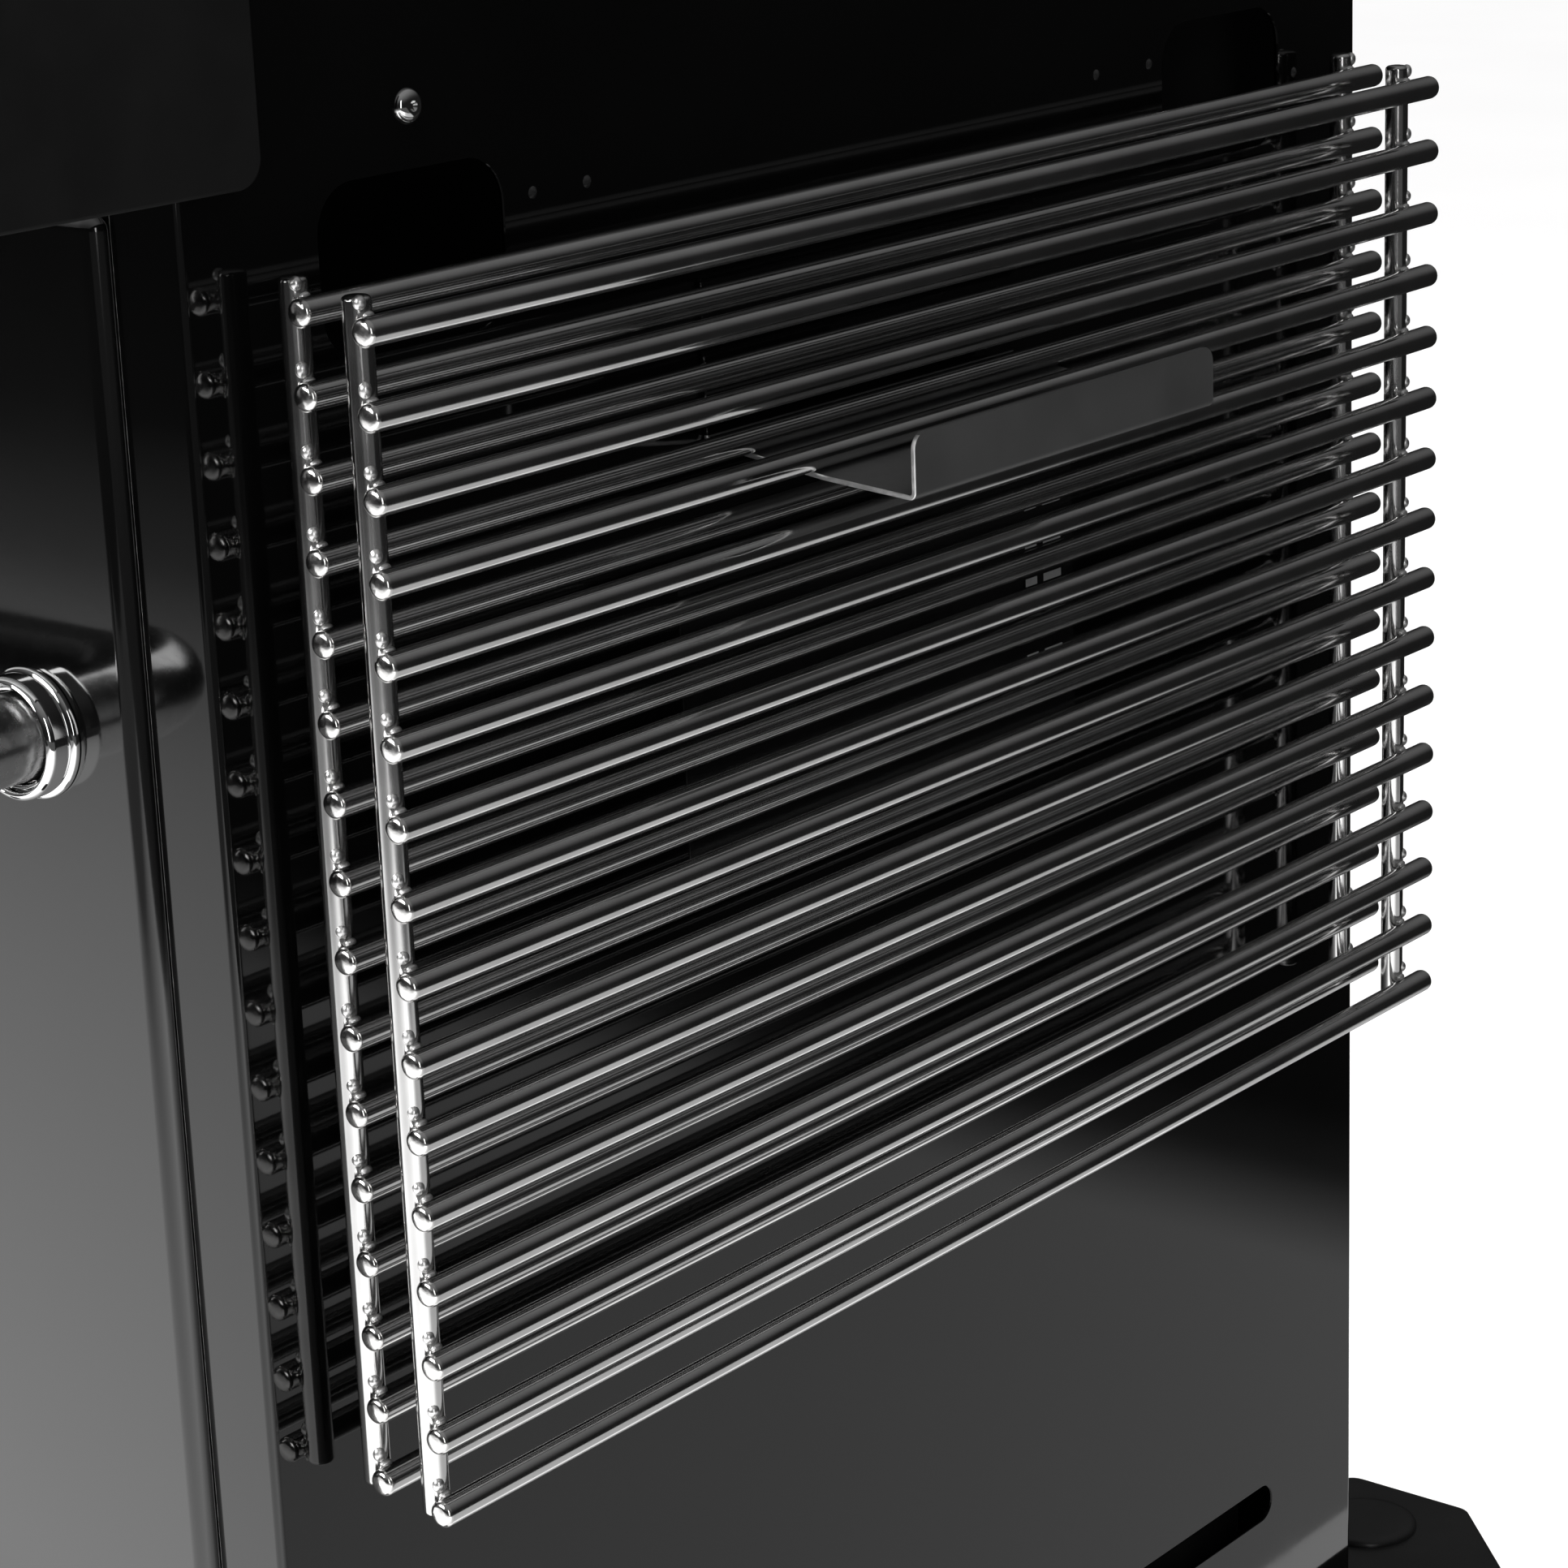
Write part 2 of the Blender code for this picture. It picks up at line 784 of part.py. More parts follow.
def grate_mesh():
    """One cooking grate lying flat: rods along X on top of two cross rods. Its origin is mid-way."""
    span = ROD_PITCH * (ROD_COUNT - 1)
    lift = ROD_D - WELD_SINK
    rods = bmesh.new()
    for i in range(ROD_COUNT):
        y = -span / 2 + i * ROD_PITCH
        turn = Matrix.Rotation(math.pi / 2, 4, "Y") @ Matrix.Rotation(math.pi / 6, 4, "Z")
        bmesh.ops.create_cone(
            rods,
            cap_ends=True,
            segments=6,
            radius1=ROD_D / 2,
            radius2=ROD_D / 2,
            depth=GRATE_LENGTH,
            matrix=Matrix.Translation((0, y, lift)) @ turn,
        )
    bars = bmesh.new()
    low = -span / 2 - ROD_D / 2
    high = span / 2 + CROSS_PAST
    for x in (-GRATE_LENGTH / 2 + CROSS_IN_NEAR, GRATE_LENGTH / 2 - CROSS_IN_FAR):
        turn = Matrix.Rotation(math.pi / 2, 4, "X")
        bmesh.ops.create_cone(
            bars,
            cap_ends=True,
            segments=6,
            radius1=ROD_D / 2,
            radius2=ROD_D / 2,
            depth=high - low,
            matrix=Matrix.Translation((x, (low + high) / 2, 0)) @ turn,
        )
    cross = add_object("grate_cross_rods", mesh_from(bars, "grate_cross_rods"))
    join(cross, add_object("grate_rods", mesh_from(rods, "grate_rods")))
    return to_mesh(cross, "grate")


def make_grates(finish):
    pattern = grate_mesh()
    data = pattern.data
    data.materials.append(finish)
    bpy.data.objects.remove(pattern, do_unlink=True)
    span = ROD_PITCH * (ROD_COUNT - 1)
    rear = RACK_BACK - span / 2 - CROSS_PAST - 0.001
    for name, level in (("cooking_grate_lower", 2), ("cooking_grate_upper", 3)):
        z = LEDGES[level] + ROD_D / 2 + GAP
        add_object(name, data, finish, Matrix.Translation((0, rear, z)))
    middle_z = TOP_ROD_Z - span / 2
    add_object("hung_grate_outer", data, finish, along_x(OUTER_CROSS_X, STORED_Y, middle_z))
    add_object("hung_grate_inner", data, finish, along_x(INNER_CROSS_X, STORED_Y, middle_z + INNER_RISE))


def make_hook(finish):
    """The bent bracket on the side panel that both stored grates hang on."""
    start = HALF_W + GAP
    steep = INNER_RISE / (OUTER_CROSS_X - INNER_CROSS_X)
    rod_x = OUTER_CROSS_X + ROD_D - WELD_SINK
    bend_x = rod_x + 0.004
    rod_low = TOP_ROD_Z - 3 * ROD_PITCH - ROD_D / 2 * math.hypot(1, steep)
    under = rod_low - GAP - HOOK_SHEET * math.hypot(1, steep)
    bend_z = under - steep * (bend_x - rod_x)
    reach = HALF_W + HOOK_REACH
    lip_z = bend_z - HOOK_FALL * (reach - bend_x)
    path = [
        (start, under + steep * (rod_x - start) + 0.050),
        (start, under + steep * (rod_x - start)),
        (bend_x, bend_z),
        (reach, lip_z),
        (reach, lip_z + HOOK_LIP),
    ]
    turn = Matrix(((1, 0, 0, 0), (0, 0, 1, 0), (0, 1, 0, 0), (0, 0, 0, 1)))
    return folded(
        "side_hook",
        path,
        HOOK_Y[0],
        HOOK_Y[1],
        finish,
        HOOK_SHEET,
        side=-1.0,
        bend=0.0,
        place=turn,
    )


# Chamber door


def make_door(skin_finish, liner_finish):
    back = FRONT - GASKET_T
    skin = open_box(
        "chamber_door_skin",
        (-DOOR_X, back - DOOR_T, DOOR_Z[0]),
        (DOOR_X, back, DOOR_Z[1]),
        (0, 1, 0),
        skin_finish,
        bend=0.004,
    )
    inset = SHEET + 0.0010
    liner = box(
        "chamber_door_liner",
        (-DOOR_X + inset, back - SHEET, DOOR_Z[0] + inset),
        (DOOR_X - inset, back, DOOR_Z[1] - inset),
        liner_finish,
    )
    middle = (DOOR_Z[0] + DOOR_Z[1]) / 2
    for obj in (skin, liner):
        bore = cylinder(
            f"{obj.name}_probe_hole",
            (0, FRONT - 0.08, middle + 0.10),
            (0, FRONT + 0.02, middle + 0.10),
            0.0070,
            sides=16,
        )
        cut(obj, bore)
    return skin


def bowed_handle(name, ends, out, finish):
    """A round tube that leaves the face at both ends and turns through two wide bends."""
    start = Vector(ends[0])
    end = Vector(ends[1])
    outward = Vector((0, -1, 0))
    run = (end - start).normalized()
    radius = 0.030
    points = [start]
    for k in range(7):
        a = math.pi / 2 * k / 6
        points.append(start + outward * (out - radius + radius * math.sin(a)) + run * radius * (1 - math.cos(a)))
    for k in range(7):
        a = math.pi / 2 * k / 6
        points.append(end + outward * (out - radius + radius * math.cos(a)) - run * radius * (1 - math.sin(a)))
    points.append(end)
    return tube(name, [tuple(p) for p in points], HANDLE_D / 2, finish, 3)


def make_collar(name, x, y, z, finish):
    """A stepped ring round the foot of a handle, on the face behind it."""
    inner = HANDLE_D / 2 + 0.0006
    profile = [
        (inner, COLLAR_H),
        (COLLAR_D / 2 - 0.0012, COLLAR_H),
        (COLLAR_D / 2, COLLAR_H - 0.0020),
        (COLLAR_D / 2, 0.0030),
        (COLLAR_D / 2 + 0.0012, 0.0025),
        (COLLAR_D / 2 + 0.0012, 0.0),
        (inner, 0.0),
        (inner, COLLAR_H),
    ]
    return turned(name, profile, along_front(x, y, z), finish, 20)


def make_chamber_handle(finish, collar_finish):
    x = DOOR_X - 0.045
    face = FRONT - GASKET_T - DOOR_T - GAP
    bowed_handle("chamber_door_handle", ((x, face, 1.000), (x, face, 1.200)), HANDLE_OUT, finish)
    make_collar("chamber_collar_lower", x, face, 1.000, collar_finish)
    make_collar("chamber_collar_upper", x, face, 1.200, collar_finish)


def make_thermometer(case_finish, needle_finish):
    """A dial case on the door with its probe through the door, and the needle over the dial."""
    z = (DOOR_Z[0] + DOOR_Z[1]) / 2 + 0.10
    face = FRONT - GASKET_T - DOOR_T - GAP
    profile = [
        (0.0365, 0.013),
        (0.0390, 0.013),
        (0.0400, 0.011),
        (0.0400, 0.0),
        (0.0060, 0.0),
        (0.0060, -0.040),
        (0.0035, -0.042),
        (0.0035, -0.095),
        (0.0, -0.095),
        (0.0, 0.004),
        (0.0350, 0.004),
        (0.0365, 0.013),
    ]
    turned("thermometer_case", profile, along_front(0, face, z), case_finish, 24)
    needle = box(
        "thermometer_needle",
        (-0.0012, face - 0.0075, z - 0.008),
        (0.0012, face - 0.0060, z + 0.027),
        needle_finish,
    )
    move_origin(needle, (0, face, z))
    return join(
        needle,
        cylinder("needle_hub", (0, face - 0.0090, z), (0, face - 0.0045, z), 0.0035, sides=14),
    )


def make_hinge(place, z, leaf_finish, pin_finish):
    """Cabinet leaf with two knuckles, door leaf with one between them, and the pin."""
    y = FRONT - GASKET_T - DOOR_T / 2
    height = 0.050
    third = height / 3
    outer = 0.0062
    bore = 0.0034
    side = -HALF_W - GAP
    cabinet = box(
        f"cabinet_leaf_{place}",
        (side - 0.002, FRONT + 0.004, z),
        (side, FRONT + 0.040, z + height),
        leaf_finish,
    )
    arm = box(f"leaf_arm_{place}", (side - 0.0095, y, z), (side - 0.0065, FRONT + 0.006, z + height))
    step = box(
        f"leaf_step_{place}",
        (side - 0.0095, FRONT + 0.0035, z),
        (side - 0.0005, FRONT + 0.0065, z + height),
    )
    barrel = cylinder(f"leaf_barrel_{place}", (HINGE_X, y, z), (HINGE_X, y, z + height), outer, sides=16)
    window = box(
        f"leaf_window_{place}",
        (HINGE_X - 0.02, y - 0.010, z + third - GAP),
        (HINGE_X + 0.02, y + 0.0095, z + 2 * third + GAP),
    )
    join(cabinet, arm, step, barrel)
    cut(
        cabinet,
        window,
        cylinder(f"leaf_bore_{place}", (HINGE_X, y, z - 0.01), (HINGE_X, y, z + height + 0.01), bore, sides=16),
    )
    door_side = -DOOR_X - GAP
    knuckle = cylinder(
        f"door_leaf_{place}",
        (HINGE_X, y, z + third + GAP),
        (HINGE_X, y, z + 2 * third - GAP),
        outer,
        leaf_finish,
        16,
    )
    tab = box(
        f"door_tab_{place}",
        (HINGE_X + 0.004, y - 0.0010, z + third + GAP),
        (door_side, y + 0.0010, z + 2 * third - GAP),
    )
    wing = box(
        f"door_wing_{place}",
        (door_side - 0.0020, y - 0.0120, z + third + GAP),
        (door_side, y + 0.0120, z + 2 * third - GAP),
    )
    join(knuckle, tab, wing)
    cut(
        knuckle,
        cylinder(f"door_bore_{place}", (HINGE_X, y, z - 0.01), (HINGE_X, y, z + height + 0.01), bore, sides=16),
    )
    profile = [
        (0.0, z + height + 0.0035),
        (0.0050, z + height + 0.0035),
        (0.0050, z + height + GAP),
        (0.0031, z + height + GAP),
        (0.0031, z - 0.002),
        (0.0, z - 0.002),
    ]
    turned(f"hinge_pin_{place}", profile, Matrix.Translation((HINGE_X, y, 0)), pin_finish, 16)


# Cylinder drawer


def make_drawer(skin_finish, tray_finish, handle_finish, collar_finish):
    front = open_box(
        "drawer_front",
        (-DRAWER_X, FRONT - DRAWER_PROUD, DRAWER_Z[0]),
        (DRAWER_X, FRONT + DRAWER_T, DRAWER_Z[1]),
        (0, 1, 0),
        skin_finish,
        bend=0.005,
    )
    start = FRONT + DRAWER_T + GAP
    tray = open_box(
        "drawer_tray", (-TRAY_X, start, 0.0970), (TRAY_X, 0.235, 0.1315), (0, 0, 1), tray_finish
    )
    for sign in (-1, 1):
        low = (min(sign * 0.2612, sign * 0.2790), start + 0.004, 0.1085)
        high = (max(sign * 0.2612, sign * 0.2790), 0.235, 0.1225)
        join(tray, box(f"tray_slide_{sign}", low, high))
    cut(tray, cylinder("cylinder_seat", (0, -0.010, 0.08), (0, -0.010, 0.11), 0.100, sides=36))
    face = FRONT - DRAWER_PROUD - GAP
    ends = ((-DRAWER_HANDLE_X, face, DRAWER_HANDLE_Z), (DRAWER_HANDLE_X, face, DRAWER_HANDLE_Z))
    bowed_handle("drawer_handle", ends, HANDLE_OUT - DRAWER_PROUD, handle_finish)
    for side, x in (("right", DRAWER_HANDLE_X), ("left", -DRAWER_HANDLE_X)):
        make_collar(f"drawer_collar_{side}", x, face, DRAWER_HANDLE_Z, collar_finish)
    return front


# Casters


def pod_outline(toward):
    """A rectangle with its four corners cut off. toward is 1 for a rear pod and -1 for a front one."""
    half = POD_W / 2
    cut_off = POD_CHAMFER
    corners = [
        (half, POD_IN + cut_off),
        (half, POD_OUT - cut_off),
        (half - cut_off, POD_OUT),
        (cut_off - half, POD_OUT),
        (-half, POD_OUT - cut_off),
        (-half, POD_IN + cut_off),
        (cut_off - half, POD_IN),
        (half - cut_off, POD_IN),
    ]
    if toward < 0:
        corners = [(x, -y) for x, y in reversed(corners)]
    return rounded_outline(corners, 0.008, 1)


def make_caster(place, x, y, pod_finish, fork_finish, wheel_finish):
    top = BASE_Z - GAP
    outline = pod_outline(1 if y > 0 else -1)
    pod = plate(f"caster_pod_{place}", outline, POD_T, Matrix.Translation((x, 0, top - POD_T)), pod_finish)
    soften(pod, 0.003, 1)
    join(
        pod,
        cylinder(f"pod_boss_{place}", (x, y, top - 0.002), (x, y, top + BOSS_H), BOSS_D / 2, sides=24),
    )
    cut(
        pod,
        cylinder(f"pod_socket_{place}", (x, y, top - POD_T - 0.01), (x, y, top - POD_T + 0.012), 0.0065, sides=12),
    )
    under = top - POD_T - GAP
    wheel_z = FLOOR_Z + WHEEL_D / 2
    axle_y = y + TRAIL
    yoke = WHEEL_W / 2 + 0.0015
    fork = cylinder(f"caster_fork_{place}", (x, y, under - 0.005), (x, y, under), 0.026, fork_finish, 18)
    join(
        fork,
        cylinder(f"fork_stem_{place}", (x, y, under - 0.002), (x, y, under + 0.011), 0.0060, sides=12),
    )
    for side in (-1, 1):
        inner = x + side * yoke
        outer = x + side * (yoke + 0.0025)
        corners = [
            (y - 0.018, under - 0.0045),
            (axle_y - 0.010, wheel_z - 0.004),
            (axle_y + 0.010, wheel_z - 0.004),
            (y + 0.022, under - 0.0045),
        ]
        cheek = plate(
            f"fork_cheek_{place}_{side}", rounded_outline(corners, [0, 0.007, 0.007, 0], 2), 0.0025,
            along_x(min(inner, outer), 0, 0),
        )
        join(fork, cheek)
    join(
        fork,
        cylinder(
            f"fork_axle_{place}",
            (x - yoke - 0.004, axle_y, wheel_z),
            (x + yoke + 0.004, axle_y, wheel_z),
            0.0040,
            sides=12,
        ),
    )
    half = WHEEL_W / 2
    profile = [
        (0.0044, half),
        (0.0115, half),
        (0.0120, half - 0.004),
        (0.0290, half - 0.002),
        (WHEEL_D / 2, half - 0.005),
        (WHEEL_D / 2, -half + 0.005),
        (0.0290, -half + 0.002),
        (0.0120, -half + 0.004),
        (0.0115, -half),
        (0.0044, -half),
        (0.0044, half),
    ]
    spin = Matrix.Translation((x, axle_y, wheel_z)) @ Matrix.Rotation(math.pi / 2, 4, "Y")
    turned(f"caster_wheel_{place}", profile, spin, wheel_finish, 20)


def build():
    gloss_black = material("gloss_black_enamel", (0.010, 0.010, 0.011), 0.08, 0.0)
    satin_black = material("satin_black_paint", (0.022, 0.022, 0.024), 0.45, 0.0)
    cheek_grey = material("matte_grey_paint", (0.045, 0.045, 0.048), 0.60, 0.0)
    galvanised = material("galvanised_steel", (0.42, 0.43, 0.44), 0.45, 1.0)
    stainless = material("polished_stainless", (0.62, 0.62, 0.61), 0.12, 1.0)
    satin_steel = material("satin_stainless", (0.45, 0.45, 0.45), 0.30, 1.0)
    chrome = material("chrome_plate", (0.80, 0.80, 0.80), 0.05, 1.0)
    grey_paint = material("grey_bracket_paint", (0.10, 0.10, 0.10), 0.42, 0.0)
    enamel = material("porcelain_enamel", (0.02, 0.02, 0.03), 0.20, 0.0)
    iron = material("cast_iron", (0.035, 0.033, 0.032), 0.65, 0.6)
    brass = material("brass", (0.55, 0.40, 0.18), 0.30, 1.0)
    rope = material("seal_rope", (0.30, 0.29, 0.27), 0.90, 0.0)
    rubber = material("wheel_rubber", (0.02, 0.02, 0.02), 0.70, 0.0)
    red = material("needle_red", (0.55, 0.04, 0.03), 0.40, 0.0)

    for sign in (1, -1):
        make_side_panel(sign, gloss_black)
        make_rack_rail(sign, galvanised)
        make_console_cheek(sign, cheek_grey)
        make_burner(sign, satin_steel)
        make_knob(sign, satin_black)
    make_base_pan(satin_black)
    make_back_panel(satin_black)
    make_roof(gloss_black)
    make_deck(galvanised)
    make_liner(galvanised)
    make_gasket(rope)
    make_chimney(satin_black)
    make_damper(satin_steel)
    make_console_fascia(satin_steel)
    make_manifold(brass)
    make_igniter(satin_black)
    make_heat_diffuser(satin_steel)
    pan("chip_tray", 0.150, -0.200, -0.010, LEDGES[0] + 0.0260, 0.036, 0.006, 0.010, iron, 0.003)
    pan("water_pan", 0.266, RACK_BACK - 0.330, RACK_BACK, LEDGES[1] + 0.0012, 0.050, 0.020, 0.020, enamel)
    pan("grease_tray", 0.1495, -0.100, 0.200, 0.7225, 0.022, 0.006, 0.014, galvanised)
    make_grates(stainless)
    make_hook(grey_paint)
    make_door(gloss_black, galvanised)
    make_chamber_handle(satin_steel, chrome)
    make_thermometer(chrome, red)
    make_hinge("lower", HINGE_Z[0], satin_black, satin_steel)
    make_hinge("upper", HINGE_Z[1], satin_black, satin_steel)
    make_drawer(gloss_black, galvanised, satin_steel, chrome)
    for place, x, y in (
        ("front_right", POD_X, -CASTER_Y),
        ("front_left", -POD_X, -CASTER_Y),
        ("rear_right", POD_X, CASTER_Y),
        ("rear_left", -POD_X, CASTER_Y),
    ):
        make_caster(place, x, y, gloss_black, satin_steel, rubber)


def set_pivots():
    door = ["chamber_door_skin", "chamber_door_liner", "chamber_door_handle"]
    door += ["chamber_collar_lower", "chamber_collar_upper", "thermometer_case"]
    door += ["door_leaf_lower", "door_leaf_upper"]
    hinge_y = FRONT - GASKET_T - DOOR_T / 2
    ride_on("chamber_door_axis", (HINGE_X, hinge_y, (DOOR_Z[0] + DOOR_Z[1]) / 2), door)
    drawer = ["drawer_front", "drawer_tray", "drawer_handle", "drawer_collar_left", "drawer_collar_right"]
    ride_on("drawer_run", (0, FRONT, DRAWER_Z[0]), drawer)


def centre_object():
    shift = Matrix.Translation(-Vector(ORIGIN))
    for obj in bpy.data.objects:
        if obj.parent is None:
            obj.matrix_world = shift @ obj.matrix_world


clear_scene()
PARTS = new_collection("vertical_water_smoker")
HELPERS = new_collection("cutters", hidden=True)
build()
set_pivots()
bpy.context.view_layer.update()
centre_object()
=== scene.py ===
"""The looks of the vertical water smoker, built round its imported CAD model."""

import json
import math

import bmesh
import bpy
from mathutils import Matrix, Vector


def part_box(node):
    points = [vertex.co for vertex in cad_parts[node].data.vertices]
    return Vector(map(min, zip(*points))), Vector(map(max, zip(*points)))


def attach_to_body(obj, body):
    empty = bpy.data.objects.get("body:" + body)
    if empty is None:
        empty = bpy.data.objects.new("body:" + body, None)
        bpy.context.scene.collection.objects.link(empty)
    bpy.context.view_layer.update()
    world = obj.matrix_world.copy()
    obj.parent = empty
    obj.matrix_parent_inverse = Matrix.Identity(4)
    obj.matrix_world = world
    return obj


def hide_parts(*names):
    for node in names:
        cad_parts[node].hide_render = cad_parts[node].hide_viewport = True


MM = 0.001
SHEET = 1.5 * MM

# Camera, measured from the side panel's lower front corner
CAMERA_OUT = 0.7788
CAMERA_AHEAD = 0.7101
CAMERA_UP = 0.7976
CAMERA_AZIMUTH = 39.48
CAMERA_ELEVATION = 16.52
CAMERA_ROLL = -2.20
CAMERA_LENS = 93.9

# Grates
ROD_RADIUS = 4.0 * MM
ROD_PITCH = 22.16 * MM
ROD_COUNT = 16
GRATE_LENGTH = 532.4 * MM
CROSS_IN_NEAR = 3.3 * MM
CROSS_IN_FAR = 11.2 * MM
CROSS_PAST = 8.65 * MM
ROD_AHEAD = 3.7 * MM
ROD_LIFT = 7.4 * MM
ROD_CUT = 0.42
WELD_DEPTH = 1.8 * MM

# Console, handles and the front's edges: DRAWER_ROLL is how far the drawer's round sides reach past its face
CONSOLE_LEAN = 20.0 * MM
TUBE_RADIUS = 12.5 * MM
DRAWER_ROUND = 5.6 * MM
DRAWER_ROLL = 5.2 * MM
DOOR_ROUND = 6.0 * MM
FLANGE_EASE = 0.35 * MM

# Side hook: its floor's slope under the rods and beyond them
HOOK_LIP = 19.0 * MM
HOOK_STEEP = 3.2 / 22.8
HOOK_FALL = 0.08

# Side panel openings, from the panel's middle and its lower edge
VENT_OFF = 200.3 * MM
VENT_W = 73.0 * MM
VENT_H = 48.0 * MM
VENT_UP = 598.0 * MM
SLOT_HALF = 230.0 * MM
SLOT_H = 14.8 * MM
SLOT_UP = 66.3 * MM

# Screws and rivets on the side panels, in millimetres from the front edge and up from the lower edge
SCREWS = ((86.6, 663.0), (486.4, 663.0))
RIVETS = ((134.6, 633.0), (157.6, 633.0), (411.6, 634.0), (442.6, 634.0), (533.6, 621.0))

# Caster plates
POD_CHAMFER = 38.7 * MM
POD_BOSS_IN = 38.5 * MM
POD_THICK = 20.0 * MM
# The floor's brightness in reflections, as (y, level) from ahead of the doors to behind the cabinet
GLOW_START = -3.0
GLOW_END = 1.5
GLOW_PEAK = 4.0
GLOW = (
    (-2.7, 0.02),
    (-2.2, 0.22),
    (-1.7, 1.10),
    (-1.0, 1.9),
    (-0.75, 2.2),
    (-0.45, 1.42),
    (-0.1, 0.66),
    (0.15, 0.56),
    (0.80, 0.55),
    (0.86, 0.26),
    (0.91, 0.06),
    (1.0, 0.012),
)

# Shader helpers


class Look:
    """A material built from nodes, with short names for the ones used most."""

    def __init__(self, name):
        self.material = bpy.data.materials.new(name)
        self.material.use_nodes = True
        self.tree = self.material.node_tree
        self.shader = self.tree.nodes["Principled BSDF"]
        self.place = self.tree.nodes.new("ShaderNodeTexCoord").outputs["Object"]

    def set(self, **values):
        for name, value in values.items():
            socket = self.shader.inputs[name.replace("_", " ")]
            socket.default_value = value
        return self

    def link(self, source, target):
        self.tree.links.new(source, target)

    def stretched(self, scale):
        mapping = self.tree.nodes.new("ShaderNodeMapping")
        mapping.inputs["Scale"].default_value = scale
        self.link(self.place, mapping.inputs["Vector"])
        return mapping.outputs["Vector"]

    def noise(self, scale, detail=3.0, stretch=None):
        node = self.tree.nodes.new("ShaderNodeTexNoise")
        node.inputs["Scale"].default_value = scale
        node.inputs["Detail"].default_value = detail
        vector = self.place if stretch is None else self.stretched(stretch)
        self.link(vector, node.inputs["Vector"])
        return node.outputs["Fac"]

    def spread(self, source, low, high, start=0.3, end=0.7):
        node = self.tree.nodes.new("ShaderNodeMapRange")
        node.inputs["From Min"].default_value = start
        node.inputs["From Max"].default_value = end
        node.inputs["To Min"].default_value = low
        node.inputs["To Max"].default_value = high
        self.link(source, node.inputs["Value"])
        return node.outputs["Result"]

    def shades(self, source, *stops):
        """A colour ramp from (position, colour) stops."""
        node = self.tree.nodes.new("ShaderNodeValToRGB")
        ramp = node.color_ramp
        while len(ramp.elements) < len(stops):
            ramp.elements.new(0.5)
        for element, (position, color) in zip(ramp.elements, stops):
            element.position = position
            element.color = (*color, 1.0)
        self.link(source, node.inputs["Fac"])
        return node.outputs["Color"]

    def color(self, source, *stops):
        self.link(self.shades(source, *stops), self.shader.inputs["Base Color"])
        return self

    def roughness(self, source, low, high):
        self.link(self.spread(source, low, high), self.shader.inputs["Roughness"])
        return self

    def bump(self, source, distance, strength=1.0):
        node = self.tree.nodes.new("ShaderNodeBump")
        node.inputs["Strength"].default_value = strength
        node.inputs["Distance"].default_value = distance
        previous = self.shader.inputs["Normal"].links
        if previous:
            self.link(previous[0].from_socket, node.inputs["Normal"])
        self.link(source, node.inputs["Height"])
        self.link(node.outputs["Normal"], self.shader.inputs["Normal"])
        return self


def grey(value, tint=0.0):
    return (value, value * (1 - tint / 2), value * (1 - tint))


def mottled(name, tone, rough, relief=None, **values):
    """A material whose colour, roughness and relief each follow a noise of their own.

    tone, rough and relief start with the noise's scale and detail. Then come the darker and lighter colour,
    the lowest and highest roughness, and the depth and strength.
    """
    look = Look(name).set(**values)
    scale, detail, dark, light = tone
    look.color(look.noise(scale, detail), (0.3, dark), (0.7, light))
    scale, detail, low, high = rough
    look.roughness(look.noise(scale, detail), low, high)
    if relief:
        scale, detail, depth, strength = relief
        look.bump(look.noise(scale, detail), depth, strength)
    return look.material


def gloss_enamel():
    tone = (9.0, 4.0, grey(0.0009), grey(0.0016))
    return mottled("gloss_enamel", tone, (23.0, 5.0, 0.030, 0.060), (210.0, 2.0, 0.00001, 0.25), IOR=1.5)


def front_enamel():
    """The door and drawer enamel: the same gloss with a little more haze."""
    tone = (7.0, 4.0, grey(0.0012), grey(0.0022))
    return mottled("front_enamel", tone, (19.0, 5.0, 0.055, 0.095), (230.0, 2.0, 0.00001, 0.3), IOR=1.63)


def satin_paint(name, low, high, rough=(0.42, 0.55), grain=520.0, depth=0.00003, shine=0.5):
    tone = (31.0, 5.0, grey(low), grey(high))
    return mottled(name, tone, (64.0, 4.0, *rough), (grain, 2.0, depth, 0.6), Specular_IOR_Level=shine)


def polished_rod():
    """Electropolished wire: nearly a mirror, with faint drawing lines along the rods."""
    look = Look("polished_rod").set(Metallic=1.0)
    look.color(look.noise(40.0, 3.0), (0.3, grey(0.60, 0.01)), (0.7, grey(0.70, 0.01)))
    look.roughness(look.noise(55.0, 4.0), 0.11, 0.17)
    return look.bump(look.noise(420.0, 2.0, (1.0, 0.03, 1.0)), 0.000003, 0.15).material


def weld_metal():
    tone = (300.0, 3.0, grey(0.66, 0.02), grey(0.80, 0.02))
    return mottled("weld_metal", tone, (400.0, 3.0, 0.10, 0.24), (650.0, 3.0, 0.00010, 0.5), Metallic=1.0)


def weld_bead():
    """Raw weld metal, bright and slightly rough."""
    tone = (300.0, 3.0, grey(0.86, 0.01), grey(0.94, 0.01))
    return mottled("raw_weld", tone, (400.0, 3.0, 0.28, 0.42), (650.0, 3.0, 0.00010, 0.5), Metallic=1.0)


def brushed_steel(name, along, value=0.50, rough=(0.24, 0.36)):
    """Stainless steel with a fine grain along one of its own axes."""
    stretch = tuple(0.015 if axis == along else 1.0 for axis in "xyz")
    look = Look(name).set(Metallic=1.0)
    grain = look.noise(700.0, 4.0, stretch)
    look.color(grain, (0.3, grey(value * 0.9)), (0.7, grey(value * 1.08)))
    look.roughness(grain, *rough)
    return look.bump(grain, 0.00002, 0.35).material


